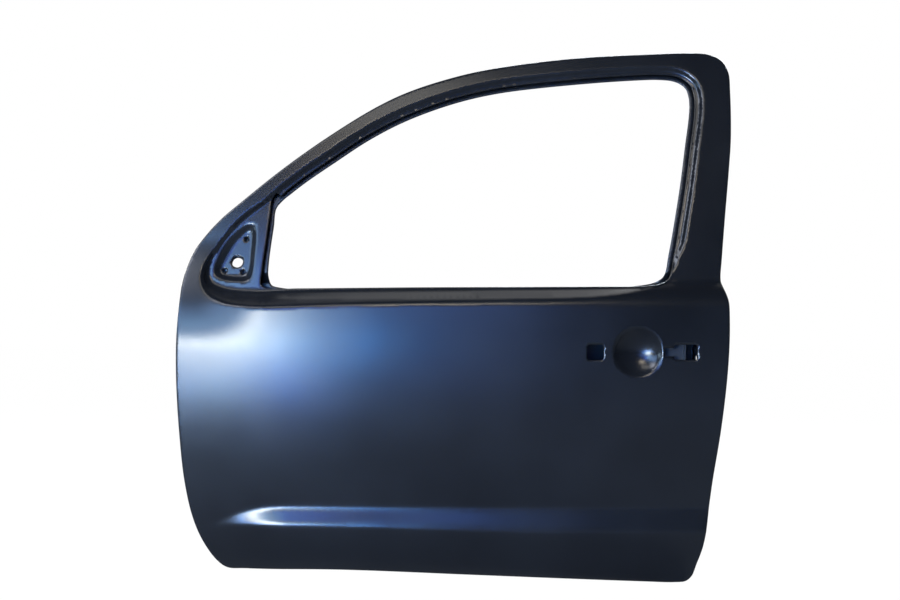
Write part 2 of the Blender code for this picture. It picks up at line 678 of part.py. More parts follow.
def sheet_mesh(name, points, faces):
    """A consistent sheet whose faces look outwards, to -Y."""
    mesh = bpy.data.meshes.new(name)
    work = bmesh.new()
    made = [work.verts.new(p) for p in points]
    work.verts.ensure_lookup_table()
    for face in faces:
        work.faces.new([made[k] for k in face])
    bmesh.ops.delete(work, geom=[v for v in work.verts if not v.link_faces], context="VERTS")
    bmesh.ops.recalc_face_normals(work, faces=work.faces)
    facing = sum(face.normal.y * face.calc_area() for face in work.faces)
    if facing > 0:
        bmesh.ops.reverse_faces(work, faces=work.faces)
    work.to_mesh(mesh)
    work.free()
    return mesh


def place(name, mesh, look):
    made = bpy.data.objects.new(name, mesh)
    bpy.context.scene.collection.objects.link(made)
    made.parent = ANCHOR
    if look:
        mesh.materials.append(look)
    return made


def thicken(made, thickness, way=-1):
    solid = made.modifiers.new("Sheet", "SOLIDIFY")
    solid.thickness = thickness
    solid.offset = way
    solid.use_even_offset = True
    solid.use_quality_normals = True
    return made


def cut(made, cutter):
    cutter.hide_render = True
    cutter.display_type = "WIRE"
    tool = made.modifiers.new("Holes", "BOOLEAN")
    tool.object = cutter
    tool.operation = "DIFFERENCE"


def prism(name, outline, holes, low, high, look, axis="Y"):
    """A flat plate with holes: an outline in two axes, filled between two depths of the third."""
    net, faces, loops = patch(np.asarray(outline), holes, [], max(np.ptp(outline, axis=0)) * 2)
    count = len(net)
    depths = [depth(net) if callable(depth) else np.full(count, depth) for depth in (low, high)]
    both = np.vstack([np.column_stack([net, depth]) for depth in depths])
    order = {"X": (2, 0, 1), "Y": (0, 2, 1), "Z": (0, 1, 2)}[axis]
    work = bmesh.new()
    made = [work.verts.new(Vector(p[list(order)])) for p in both]
    for face in faces:
        work.faces.new([made[k] for k in face])
        work.faces.new([made[k + count] for k in reversed(face)])
    for loop in loops:
        for face in strip(loop, [k + count for k in loop]):
            work.faces.new([made[k] for k in face])
    bmesh.ops.recalc_face_normals(work, faces=work.faces)
    mesh = bpy.data.meshes.new(name)
    work.to_mesh(mesh)
    work.free()
    return place(name, mesh, look)


def hem_ring(margin, offset):
    """Stations of the door's edge moved in over the skin and then down into its thickness."""
    line = inset(PERIMETER, margin)[EDGE_STATIONS]
    depth = skin_depth(line)
    return placed(line, depth) - normals(line, skin_depth, depth) * offset


def add_ring(points, ring):
    first = len(points)
    points.extend(ring)
    return list(range(first, len(points)))


def outer_panel(look):
    """The skin: one pressed sheet with its hem, pockets and openings."""
    rim = inset(PERIMETER, FLANGE_WIDTH)[EDGE_STATIONS]
    lip = LIP[LIP_STATIONS]
    holes = [lip, circle(MIRROR_X, MIRROR_Z, MIRROR_HOLE_RADIUS)] + handle_apertures()
    holes += [circle(x, z, NUT_BORE) for x, z in scaled(mirror_nut_shares)]
    lines = [
        (thinned(STEP_OUTER, skin_depth), True),
        (thinned(STEP_INNER, skin_depth), True),
        (step_middle(), False),
        (thinned(POCKET_RIM, skin_depth), True),
        (thinned(POCKET_FLOOR, skin_depth), True),
    ]
    for share in cup_ring_shares:
        lines.append((circle(HANDLE_X, HANDLE_Z, CUP_RADIUS * share, CUP_SIDES), True))
    lines += [(line, False) for line in ledge_lines()]
    net, faces, loops = patch(rim, holes, lines, FILL_STEP)
    points = list(placed(net, skin_depth(net)))
    faces = [tuple(face) for face in faces]
    edge = hem_ring(HEM_RADIUS, 0)
    inner = hem_ring(2 * HEM_RADIUS, 0)
    back = hem_ring(HEM_RADIUS, 2 * HEM_RADIUS)
    ahead = (inner - edge) / np.linalg.norm(inner - edge, axis=1)[:, None]
    fold = (edge + back) / 2 - ahead * HEM_RADIUS
    rings = [loops[0]] + [add_ring(points, ring) for ring in (edge, fold, back)]
    for first, second in zip(rings, rings[1:]):
        faces += strip(first, second)
    faces += strip(add_ring(points, hem_ring(HEM_RETURN, 2 * HEM_RADIUS)), rings[-1])
    rise = np.clip((lip[:, 1] - BELT_HEIGHT) / CHANNEL_FADE, 0, 1)
    reach = SILL_RETURN + (CHANNEL_DEPTH - CLEARANCE - SILL_RETURN) * rise
    down = placed(lip, skin_depth(lip) + reach)
    faces += strip(loops[1], add_ring(points, down))
    return thicken(place("outer_panel", sheet_mesh("outer_panel", points, faces), look), SHEET)


def handle_apertures():
    """The plain hole ahead of the handle bowl, and the stepped one behind it."""
    front = rounded_box(APERTURE_FRONT_X, HANDLE_Z, APERTURE_FRONT_LENGTH, APERTURE_HEIGHT, PLATE_CORNER)
    rear = rounded_box(APERTURE_REAR_X, HANDLE_Z, APERTURE_REAR_LENGTH, APERTURE_HEIGHT, PLATE_CORNER)
    left = rear[:, 0].min()
    neck = left - APERTURE_NECK_LENGTH
    top = HANDLE_Z + APERTURE_NECK_HEIGHT / 2
    foot = HANDLE_Z - APERTURE_NECK_HEIGHT / 2
    turn = len(rear) // 2
    rear = np.vstack([rear[:turn], [(left, top), (neck, top), (neck, foot), (left, foot)], rear[turn:]])
    return [front, rear]


def step_middle():
    """A line half way down the wide part of the step, under the sail and the sill."""
    pairs = np.array(step_foot_shares).mean(1) * (DOOR_LENGTH, DOOR_HEIGHT)
    line = spline(pairs, closed=False)
    return thinned(line, skin_depth)


def ledge_lines():
    """The upper and lower creases of the ledge."""
    x = np.linspace(LEDGE_TIP_REACH, DOOR_LENGTH, LEDGE_STATIONS)[:-1]
    reach = np.clip((x - LEDGE_TIP_REACH) / (LEDGE_FULL_REACH - LEDGE_TIP_REACH), 0, 1)
    top = LEDGE_TIP_HEIGHT + (LEDGE_TOP - LEDGE_TIP_HEIGHT) * (1 - (1 - reach) ** 2.5)
    foot = LEDGE_FOOT - LEDGE_FOOT_DROP * ease((x - LEDGE_FULL_REACH) / (DOOR_LENGTH / 2))
    lines = [np.column_stack([x, top])[1:], np.column_stack([x, foot])[1:]]
    return lines + [np.column_stack([x, (top + foot) / 2])[2:]]


def inner_panel(look):
    """The inner pressing: hem flange, land, deep wall, trim face and window frame."""
    rim = inset(PERIMETER, FLANGE_WIDTH)[EDGE_STATIONS]
    holes = [thinned(OPENING, inner_depth), circle(MIRROR_X, MIRROR_Z - MIRROR_INNER_DROP, MIRROR_INNER_HOLE_RADIUS)]
    for shares in (main_access_shares, rear_access_shares, front_access_shares, handle_access_shares):
        holes.append(thinned(spline(scaled(shares)), inner_depth))
    holes.append(circle(*SPEAKER, SPEAKER_RADIUS, CUP_SIDES))
    holes += [circle(x, z, CLIP_HOLE_RADIUS, CLIP_SIDES) for x, z in scaled(clip_place_shares)]
    wall = thin(on_face(WALL_FOOT, inner_depth))
    upper_lip = LIP[LIP_STATIONS]
    upper_lip = upper_lip[upper_lip[:, 1] > BELT_HEIGHT]
    lines = [
        (inset(PERIMETER, LAND_START)[EDGE_STATIONS], True),
        (WALL_FOOT[wall], True),
        (inset(WALL_FOOT, WALL_DRAFT * wall_edge_share)[wall], True),
        (WALL_HEAD[wall], True),
        (across(TRIM_TOP), False),
        (across(SILL_BAND_FOOT), False),
        (split_line(upper_lip), False),
        (split_line(inset(LIP, -CHANNEL_RISE)[LIP_STATIONS]), False),
        (circle(*SPEAKER, SPEAKER_RING, CUP_SIDES), True),
        (circle(*SPEAKER, SPEAKER_RING - SPEAKER_RISE, CUP_SIDES), True),
    ]
    net, faces, loops = patch(rim, holes, lines, FILL_STEP)
    points = placed(squared(net), inner_depth(net))
    points[loops[0]] = hem_ring(FLANGE_WIDTH, FLANGE_OFFSET)
    points = list(points)
    faces = [tuple(face) for face in faces]
    faces += strip(loops[0], add_ring(points, hem_ring(FLANGE_START, FLANGE_OFFSET)))
    made = thicken(place("inner_panel", sheet_mesh("inner_panel", points, faces), look), SHEET)
    cut(made, wall_cutters())
    return made


def across(z):
    """A level line over the trim face, from wall to wall."""
    x = np.arange(HINGE_WALL + 2 * WALL_DRAFT, LATCH_WALL - WALL_DRAFT, EDGE_STEP)
    return np.column_stack([x, np.full(len(x), z)])


def split_line(line):
    """The arch of a closed ring, opened where it drops below the belt."""
    line = line[line[:, 1] > BELT_HEIGHT]
    jump = int(np.argmax(np.linalg.norm(np.diff(line, axis=0), axis=1))) + 1
    return np.vstack([line[jump:], line[:jump]])


def joined(name, outlines, low, high):
    """One cutter made of several plain prisms along X."""
    work = bmesh.new()
    for outline in outlines:
        ends = [[work.verts.new((x, y, z)) for y, z in outline] for x in (low, high)]
        work.faces.new(ends[0])
        work.faces.new(list(reversed(ends[1])))
        for k in range(len(outline)):
            after = (k + 1) % len(outline)
            work.faces.new((ends[0][k], ends[1][k], ends[1][after], ends[0][after]))
    bmesh.ops.recalc_face_normals(work, faces=work.faces)
    mesh = bpy.data.meshes.new(name)
    work.to_mesh(mesh)
    work.free()
    return mesh


def pair(y, z, spread):
    return [circle(y, z - spread / 2, BOLT_HOLE_RADIUS), circle(y, z + spread / 2, BOLT_HOLE_RADIUS)]


def hinge_wall_holes():
    slot = rounded_box(HINGE_Y, CHECK_LINK_Z, CHECK_SLOT_LENGTH, CHECK_SLOT_HEIGHT, CHECK_SLOT_HEIGHT / 3)
    found = [slot, circle(HINGE_Y, BOOT_HOLE_Z, BOOT_HOLE_RADIUS)]
    found += pair(HINGE_Y, UPPER_HINGE_Z, HINGE_BOLT_SPREAD)
    found += pair(HINGE_Y, LOWER_HINGE_Z, HINGE_BOLT_SPREAD)
    return found + pair(HINGE_Y, CHECK_LINK_Z, CHECK_BOLT_SPREAD)


def latch_slot():
    return rounded_box(LATCH_Y, LATCH_Z, LATCH_SLOT_LENGTH, LATCH_SLOT_HEIGHT, PLATE_CORNER)


def wall_cutters():
    """The holes through the hinge and latch walls."""
    deep = WALL_DRAFT + SHEET
    hinge = joined("hinge_wall_cutter", hinge_wall_holes(), HINGE_WALL - deep, HINGE_WALL + deep)
    latch_holes = [latch_slot()] + pair(LATCH_Y, LATCH_Z, LATCH_BOLT_SPREAD)
    latch = joined("latch_wall_cutter", latch_holes, LATCH_WALL - deep, LATCH_WALL + deep)
    work = bmesh.new()
    work.from_mesh(hinge)
    work.from_mesh(latch)
    work.to_mesh(hinge)
    work.free()
    return place("wall_cutter", hinge, None)


def nut(name, x, y, z, look, axis="X"):
    """A hexagon weld nut whose base sits at the given place."""
    flats, bore = circle(y, z, NUT_SIZE, 6), circle(y, z, NUT_BORE)
    return prism(name, flats, [bore], x, x + NUT_HEIGHT, look, axis)


def hinge_reinforcements(look, nut_look):
    low = HINGE_WALL + CLEARANCE
    top = low + REINFORCEMENT
    for name, z in (("upper_hinge", UPPER_HINGE_Z), ("lower_hinge", LOWER_HINGE_Z)):
        outline = rounded_box(HINGE_Y, z, HINGE_PLATE_LENGTH, HINGE_PLATE_HEIGHT, PLATE_CORNER)
        prism(name + "_reinforcement", outline, pair(HINGE_Y, z, HINGE_BOLT_SPREAD), low, top, look, "X")
        for number, side in enumerate((-1, 1), 1):
            place_z = z + side * HINGE_BOLT_SPREAD / 2
            nut(f"{name}_nut_{number}", top + CLEARANCE, HINGE_Y, place_z, nut_look)
    outline = rounded_box(HINGE_Y, CHECK_LINK_Z, HINGE_PLATE_LENGTH, CHECK_PLATE_HEIGHT, PLATE_CORNER)
    slot = rounded_box(HINGE_Y, CHECK_LINK_Z, CHECK_SLOT_LENGTH, CHECK_SLOT_HEIGHT, CHECK_SLOT_HEIGHT / 3)
    holes = [slot] + pair(HINGE_Y, CHECK_LINK_Z, CHECK_BOLT_SPREAD)
    prism("check_link_reinforcement", outline, holes, low, top, look, "X")
    for number, side in enumerate((-1, 1), 1):
        place_z = CHECK_LINK_Z + side * CHECK_BOLT_SPREAD / 2
        nut(f"check_link_nut_{number}", top + CLEARANCE, HINGE_Y, place_z, nut_look)


def latch_reinforcement(look):
    outline = rounded_box(LATCH_Y, LATCH_Z, LATCH_PLATE_LENGTH, LATCH_PLATE_HEIGHT, PLATE_CORNER)
    holes = [latch_slot()] + pair(LATCH_Y, LATCH_Z, LATCH_BOLT_SPREAD)
    high = LATCH_WALL - CLEARANCE
    prism("latch_reinforcement", outline, holes, high - REINFORCEMENT, high, look, "X")


def mirror_reinforcement(look, nut_look):
    """The plate behind the mirror pocket, and the nuts on it."""
    def front(net):
        return pocket_depth(net[:, 0], net[:, 1]) + FLANGE_OFFSET * SLOPE_ROOM

    def back(net):
        return front(net) + REINFORCEMENT

    def nut_front(net):
        return back(net) + CLEARANCE * SLOPE_ROOM

    def nut_back(net):
        return nut_front(net) + NUT_HEIGHT

    outline = thinned(POCKET_RIM, skin_depth)
    hole = circle(MIRROR_X, MIRROR_Z, MIRROR_HOLE_RADIUS + SHEET)
    screws = [circle(x, z, NUT_BORE) for x, z in scaled(mirror_nut_shares)]
    prism("mirror_reinforcement", outline, [hole] + screws, front, back, look)
    for number, (x, z) in enumerate(scaled(mirror_nut_shares), 1):
        flats = circle(x, z, NUT_SIZE, 6)
        prism(f"mirror_nut_{number}", flats, [circle(x, z, NUT_BORE)], nut_front, nut_back, nut_look)


def belt_reinforcements(look):
    """The strips behind the outer and the inner sill."""
    sill = LIP[LIP_STATIONS]
    sill = sill[(sill[:, 1] < BELT_HEIGHT) & (sill[:, 0] > BELT_STRIP_FROM) & (sill[:, 0] < BELT_STRIP_TO)]
    sill = sill[np.argsort(sill[:, 0])]
    top = sill - (0, SHEET + CLEARANCE)
    foot = top - (0, BELT_STRIP_HEIGHT)

    def front(net):
        return sunk_depth(net[:, 0], BELT_HEIGHT)

    def back(net):
        return front(net) + BELT_STRIP_SHEET

    prism("outer_belt_reinforcement", np.vstack([top, foot[::-1]]), [], front, back, look)
    low, high = SILL_BAND_FOOT + SHEET, OPENING[:, 1].min() - SHEET
    middle, height = (low + high) / 2, high - low
    length = BELT_STRIP_TO - BELT_STRIP_FROM
    outline = rounded_box(BELT_STRIP_FROM + length / 2, middle, length, height, PLATE_CORNER)
    near = SILL_DEPTH - CLEARANCE
    prism("inner_belt_reinforcement", outline, [], near - BELT_STRIP_SHEET, near, look)


def beam_height(x):
    share = (x - HINGE_WALL) / (LATCH_WALL - HINGE_WALL)
    return BEAM_FRONT_Z + (BEAM_REAR_Z - BEAM_FRONT_Z) * share


def slanted(name, section, foot, head, look):
    """A section of (x, y) points carried straight from one level to another."""
    work = bmesh.new()
    ends = [[work.verts.new((x + at[0], y + at[1], at[2])) for x, y in section] for at in (foot, head)]
    work.faces.new(ends[0])
    work.faces.new(list(reversed(ends[1])))
    for k in range(len(section)):
        after = (k + 1) % len(section)
        work.faces.new((ends[0][k], ends[1][k], ends[1][after], ends[0][after]))
    bmesh.ops.recalc_face_normals(work, faces=work.faces)
    mesh = bpy.data.meshes.new(name)
    work.to_mesh(mesh)
    work.free()
    return place(name, mesh, look)


def impact_beam(look, pad_look):
    """The tube across the door, its two end brackets and the mastic pads on it."""
    low, high = HINGE_WALL + BEAM_END_SPACE, LATCH_WALL - BEAM_END_SPACE
    start = Vector((low, BEAM_Y, beam_height(low)))
    end = Vector((high, BEAM_Y, beam_height(high)))
    outline = circle(0, 0, BEAM_RADIUS, BEAM_SIDES)
    tube = prism("impact_beam", outline, [circle(0, 0, BEAM_RADIUS - BEAM_WALL, BEAM_SIDES)], 0, (end - start).length, look, "X")
    turn = math.atan2(end.z - start.z, end.x - start.x)
    tube.data.transform(Matrix.Translation(start) @ Matrix.Rotation(-turn, 4, "Y"))
    for face in tube.data.polygons:
        face.use_smooth = True
    tube.data.set_sharp_from_angle(angle=math.radians(40))
    for name, wall, way in (("front", HINGE_WALL, 1), ("rear", LATCH_WALL, -1)):
        beam_bracket(f"impact_beam_{name}_bracket", wall, way, look)
    for number, share in enumerate(pad_place_shares, 1):
        x = share * DOOR_LENGTH
        z = beam_height(x)
        outline = rounded_box(x, z, PAD_LENGTH, PAD_HEIGHT, PLATE_CORNER)
        back = BEAM_Y - BEAM_RADIUS - CLEARANCE
        prism(f"mastic_pad_{number}", outline, [], pad_front, back, pad_look)


def pad_front(net):
    """The front of a mastic pad, which lies against the back of the skin."""
    return skin_depth(net) + SHEET + CLEARANCE + FACET_ROOM


def beam_bracket(name, wall, way, look):
    near = BEAM_Y + BEAM_RADIUS + CLEARANCE
    far = near + REINFORCEMENT
    base = wall + way * CLEARANCE
    inner = base + way * REINFORCEMENT
    tip = base + way * BRACKET_REACH
    section = [
        (base, near), (tip, near), (tip, far), (inner, far), (inner, near + BRACKET_FLANGE),
        (base, near + BRACKET_FLANGE),
    ]
    z = beam_height(base + way * BRACKET_REACH / 2)
    slanted(name, section, (0, 0, z - BRACKET_HEIGHT / 2), (0, 0, z + BRACKET_HEIGHT / 2), look)


def glass_channel(name, head_x, foot_x, way, look):
    """A U channel for the glass, open towards the window, and the bracket at its foot."""
    thick = CHANNEL_SHEET
    side, deep = CHANNEL_WIDTH * way, CHANNEL_THICKNESS
    section = [
        (0, 0), (side, 0), (side, -thick), (thick * way, -thick), (thick * way, thick - deep),
        (side, thick - deep), (side, -deep), (0, -deep),
    ]
    head_y = SILL_DEPTH - CLEARANCE - FACET_ROOM
    slanted(name, section, (foot_x, CHANNEL_FOOT_Y, CHANNEL_FOOT), (head_x, head_y, CHANNEL_HEAD), look)
    low, high = CHANNEL_BRACKET_Z - CHANNEL_BRACKET_HEIGHT / 2, CHANNEL_BRACKET_Z + CHANNEL_BRACKET_HEIGHT / 2
    slope = (head_y - CHANNEL_FOOT_Y) / (CHANNEL_HEAD - CHANNEL_FOOT)
    lean = (head_x - foot_x) / (CHANNEL_HEAD - CHANNEL_FOOT)
    x = foot_x + lean * (CHANNEL_BRACKET_Z - CHANNEL_FOOT)
    near = CHANNEL_FOOT_Y + slope * (high - CHANNEL_FOOT) + CLEARANCE
    far = TRIM_DEPTH - CLEARANCE
    reach = CHANNEL_BRACKET_REACH * way
    hook = [
        (x, near), (x + side, near), (x + side, far - thick), (x + side + reach, far - thick),
        (x + side + reach, far), (x + side - thick * way, far), (x + side - thick * way, near + thick),
        (x, near + thick),
    ]
    slanted(name + "_bracket", hook, (0, 0, low), (0, 0, high), look)


def deepest(left, right):
    """How far the skin reaches into the cavity anywhere behind the handle, between two x."""
    across = np.linspace(left, right, BRIDGE_STATIONS)
    up = HANDLE_Z + np.linspace(-BRIDGE_HEIGHT / 2, BRIDGE_HEIGHT / 2, BRIDGE_STATIONS)
    x, z = np.meshgrid(across, up)
    return skin_depth(np.column_stack([x.ravel(), z.ravel()])).max() + SHEET + CLEARANCE + FACET_ROOM


def handle_reinforcement(look):
    """The bridge behind the handle bowl, with a leg to the skin at each end."""
    thick = BRIDGE_SHEET
    left, right = HANDLE_X - CUP_RADIUS - BRIDGE_MARGIN, APERTURE_REAR_X
    base = deepest(left, right)
    legs = [deepest(left, left + thick), deepest(right - thick, right)]
    section = [
        (left, legs[0]), (left + thick, legs[0]), (left + thick, base), (right - thick, base),
        (right - thick, legs[1]), (right, legs[1]), (right, base + thick), (left, base + thick),
    ]
    low, high = HANDLE_Z - BRIDGE_HEIGHT / 2, HANDLE_Z + BRIDGE_HEIGHT / 2
    slanted("handle_reinforcement", section, (0, 0, low), (0, 0, high), look)


def pull_handle_bracket(look):
    """The plate behind the trim face that the inside pull handle screws into."""
    near = TRIM_DEPTH - CLEARANCE
    x, z = scaled(pull_place_shares)
    outline = rounded_box(x, z, PULL_PLATE_LENGTH, PULL_PLATE_HEIGHT, PLATE_CORNER)
    screws = [circle(x + side * PULL_PLATE_LENGTH / 3, z, NUT_BORE) for side in (-1, 1)]
    prism("pull_handle_bracket", outline, screws, near - REINFORCEMENT, near, look)


def finish(name, colour, roughness, metallic=0.0):
    made = bpy.data.materials.new(name)
    made.use_nodes = True
    shader = made.node_tree.nodes["Principled BSDF"]
    shader.inputs["Base Color"].default_value = (*colour, 1)
    shader.inputs["Roughness"].default_value = roughness
    shader.inputs["Metallic"].default_value = metallic
    return made


def clear_scene():
    for old in list(bpy.data.objects):
        bpy.data.objects.remove(old)


clear_scene()
ANCHOR = bpy.data.objects.new("door_origin", None)
ANCHOR.location = (SHEET - HINGE_WALL, -HINGE_Y, -UPPER_HINGE_Z)
bpy.context.scene.collection.objects.link(ANCHOR)

PERIMETER = spline(scaled(perimeter_shares))
OPENING = framed(0, opening_foot_shares)
LIP = framed(LIP_MARGIN, lip_foot_shares)
STEP_OUTER = framed(STEP_OUTER_MARGIN, [pair[0] for pair in step_foot_shares])
STEP_INNER = framed(STEP_INNER_MARGIN, [pair[1] for pair in step_foot_shares])
POCKET_RIM = spline(scaled(pocket_rim_shares))
POCKET_FLOOR = spline(scaled(pocket_floor_shares))
CHANNEL_EDGE = inset(LIP, -CHANNEL_RISE)
WALL_FOOT = wall_foot()
WALL_HEAD = inset(WALL_FOOT, WALL_DRAFT)
SPEAKER = scaled(speaker_place_shares)
EDGE_STATIONS = stations(PERIMETER, skin_depth)
LIP_STATIONS = stations(LIP, skin_depth)

skin_look = finish("outer_primer", (0.016, 0.021, 0.032), 0.32)
inner_look = finish("inner_primer", (0.014, 0.016, 0.020), 0.42)
steel_look = finish("reinforcement_primer", (0.020, 0.022, 0.026), 0.48)
nut_look = finish("nut_primer", (0.030, 0.031, 0.034), 0.40)
pad_look = finish("mastic", (0.05, 0.05, 0.048), 0.85)

outer_panel(skin_look)
inner_panel(inner_look)
hinge_reinforcements(steel_look, nut_look)
latch_reinforcement(steel_look)
mirror_reinforcement(steel_look, nut_look)
belt_reinforcements(steel_look)
impact_beam(steel_look, pad_look)
glass_channel("front_glass_channel", FRONT_CHANNEL_X, FRONT_CHANNEL_FOOT_X, 1, steel_look)
glass_channel("rear_glass_channel", REAR_CHANNEL_X, REAR_CHANNEL_FOOT_X, -1, steel_look)
handle_reinforcement(steel_look)
pull_handle_bracket(steel_look)
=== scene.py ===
"""Looks for the front door of a single-cab pickup, in bare dip-coated steel.

The two pressed panels are drawn again here with fine nets over the same surfaces as the solids;
the smaller pieces keep their solids and get finer materials. Metres, +Z up, +X to the rear.
"""

import math

import bmesh
import bpy
import numpy as np
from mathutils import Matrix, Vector
from mathutils.geometry import delaunay_2d_cdt
from mathutils.kdtree import KDTree


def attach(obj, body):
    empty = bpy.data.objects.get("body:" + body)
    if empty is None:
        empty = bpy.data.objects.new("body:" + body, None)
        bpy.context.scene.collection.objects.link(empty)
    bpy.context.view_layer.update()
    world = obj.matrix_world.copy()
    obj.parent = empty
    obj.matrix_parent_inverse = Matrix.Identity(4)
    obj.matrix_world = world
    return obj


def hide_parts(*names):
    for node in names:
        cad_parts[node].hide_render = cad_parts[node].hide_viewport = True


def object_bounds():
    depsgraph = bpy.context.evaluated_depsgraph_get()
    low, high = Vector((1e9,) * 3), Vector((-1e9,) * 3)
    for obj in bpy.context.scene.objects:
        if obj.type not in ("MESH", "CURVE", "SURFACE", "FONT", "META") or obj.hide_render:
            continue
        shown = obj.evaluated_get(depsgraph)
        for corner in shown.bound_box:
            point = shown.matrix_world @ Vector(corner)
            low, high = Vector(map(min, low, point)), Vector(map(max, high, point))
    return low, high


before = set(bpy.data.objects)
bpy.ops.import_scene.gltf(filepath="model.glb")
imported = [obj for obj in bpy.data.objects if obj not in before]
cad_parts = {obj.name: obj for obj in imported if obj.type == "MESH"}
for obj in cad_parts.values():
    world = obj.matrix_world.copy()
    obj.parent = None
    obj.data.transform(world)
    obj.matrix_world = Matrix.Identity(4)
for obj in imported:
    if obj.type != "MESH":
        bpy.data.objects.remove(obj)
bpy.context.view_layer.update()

# Overall sizes
DOOR_LENGTH = 1.200
DOOR_HEIGHT = 1.150
SHEET = 0.0008
CLEARANCE = 0.0003
FACET_ROOM = 0.0005

# Sections of the outer face, as depths behind its most outward point
WAIST_HEIGHT = 0.480
LOWER_TUCK = 0.042
UPPER_TUCK = 0.0041
SHOULDER_REACH = 0.150
SHOULDER_START = 0.588
BELT_HEIGHT = 0.642
FRAME_FOOT_DEPTH = 0.040
FRAME_LEAN = 0.115
FRONT_CROWN = 0.022
FRONT_CROWN_LENGTH = 0.450
REAR_CROWN = 0.006
FRONT_BLEND_START = 0.500
FRONT_BLEND_END = 0.740
FRONT_BLEND_LENGTH = 0.150
FRONT_BLEND_FROM = 0.050

# How much of each surface's run takes its bend
straight_lean_share = 0.6
roll_share = 0.25
crease_share = 0.28

# Ledge and rocker along the foot
LEDGE_DEPTH = 0.014
LEDGE_TOP = 0.1725
LEDGE_TIP_HEIGHT = 0.1205
LEDGE_TIP_REACH = 0.068
LEDGE_FULL_REACH = 0.240
LEDGE_TIP_BEND = 2.5
LEDGE_FOOT = 0.121
LEDGE_FOOT_DROP = 0.0175
TURN_UNDER = 0.018
TURN_UNDER_HEIGHT = 0.110

# Window frame, measured outwards from the clear opening
LIP_MARGIN = 0.0095
STEP_INNER_MARGIN = 0.0165
STEP_OUTER_MARGIN = 0.0265
FRAME_STEP = 0.010
CHANNEL_DEPTH = 0.017
SILL_RETURN = 0.005

# Hem round the edge of the outer panel
HEM_RADIUS = 0.0017
HEM_RETURN = 0.011
FLANGE_START = 0.0022
FLANGE_WIDTH = 0.0125
FLANGE_OFFSET = SHEET + FACET_ROOM

# Inner panel
LAND_DEPTH = 0.022
LAND_START = 0.0155
WALL_DRAFT = 0.006
CROWN_DEPTH = 0.034
CROWN_MARGIN = 0.023
CROWN_BLEND_TOP = 0.780
CROWN_ARCH_FOOT = 0.759
CHANNEL_FADE = 0.020
CHANNEL_RISE = 0.003
SILL_DEPTH = 0.094
TRIM_DEPTH = 0.105
TRIM_TOP = 0.583
SILL_BAND_FOOT = 0.600
HINGE_WALL = 0.058
LATCH_WALL = 1.115
HINGE_WALL_FOOT = 0.150
HINGE_WALL_HEAD = 0.585
LATCH_WALL_FOOT = 0.270
LATCH_WALL_HEAD = 0.585
WALL_EASE = 0.040
WALL_FADE = 0.020

# Speaker and clip holes
SPEAKER_RADIUS = 0.076
SPEAKER_RING = 0.092
SPEAKER_RISE = 0.005
CLIP_HOLE_RADIUS = 0.004

# Mirror pocket
MIRROR_X = 0.1266
MIRROR_Z = 0.686
MIRROR_HOLE_RADIUS = 0.0125
MIRROR_INNER_HOLE_RADIUS = 0.0125
MIRROR_INNER_DROP = 0.004
POCKET_DEPTH = 0.010

# Outside handle
HANDLE_X = 0.9804
HANDLE_Z = 0.4935
CUP_RADIUS = 0.052
CUP_DEPTH = 0.022
APERTURE_FRONT_X = 0.8905
APERTURE_FRONT_LENGTH = 0.035
APERTURE_HEIGHT = 0.032
APERTURE_REAR_X = 1.081
APERTURE_REAR_LENGTH = 0.050
APERTURE_NECK_LENGTH = 0.0205
APERTURE_NECK_HEIGHT = 0.017

# Hinges, check link and latch
UPPER_HINGE_Z = 0.520
LOWER_HINGE_Z = 0.250
HINGE_Y = 0.070
HINGE_BOLT_SPREAD = 0.052
BOLT_HOLE_RADIUS = 0.0055
CHECK_LINK_Z = 0.345
CHECK_SLOT_HEIGHT = 0.012
CHECK_SLOT_LENGTH = 0.022
CHECK_BOLT_SPREAD = 0.040
BOOT_HOLE_RADIUS = 0.014
BOOT_HOLE_Z = 0.452
LATCH_Y = 0.070
LATCH_Z = 0.460
LATCH_SLOT_LENGTH = 0.026
LATCH_SLOT_HEIGHT = 0.050
LATCH_BOLT_SPREAD = 0.074

# Screw holes and slot corners
NUT_BORE = 0.0042
PLATE_CORNER = 0.006
CORNER_STEPS = 6
SLOT_CORNER_STEPS = 3

# Net density
EDGE_STEP = 0.006
EDGE_BEND = math.radians(5)
FILL_STEP = 0.014
FINE_STEP = 0.0040
FINE_BAND = 0.011
fine_space_share = 0.7
DENSE_STEP = 0.004
ARCH_STEP = 0.020
SLOPE_STEP = 0.0005
LINE_SPACE = 0.0008
LIP_RADIUS = 0.0016
FOLD_STEPS = 5
MERGE = 0.0000001
SMALL = 0.000000001
HOLE_SIDES = 24
CLIP_SIDES = 16
CUP_SIDES = 64
LEDGE_STATIONS = 160
CHUNK = 1500

# Camera, in the door's own coordinates
CAMERA_X = 0.585
CAMERA_Z = 0.6035
CAMERA_DISTANCE = 3.0
SENSOR = 36
FOCAL = 57.14

# Finishes, with each primer by its colour and roughness
PRIMERS = {
    "outer_primer": ((0.0088, 0.0092, 0.0100), 0.23),
    "inner_primer": ((0.009, 0.010, 0.012), 0.36),
    "reinforcement_primer": ((0.018, 0.020, 0.024), 0.45),
    "nut_primer": ((0.028, 0.029, 0.032), 0.40),
}
CLOUD_TINT = 1.25
CLOUD_LIFT = 0.0015
CLOUD_SHEEN = 0.025
GRAIN_SHEEN = 0.004
DUST_FROM, DUST_TO = 0.70, 0.80
DUST_COLOUR = (0.10, 0.10, 0.105, 1)
dust_share = 0.04
PEEL_STRENGTH = 0.08
PEEL_HEIGHT = 0.00001
MASTIC_DARK = (0.035, 0.035, 0.033, 1)
MASTIC_PALE = (0.075, 0.073, 0.068, 1)
MASTIC_ROUGHNESS = 0.85
LUMP_STRENGTH = 0.6
LUMP_HEIGHT = 0.0008

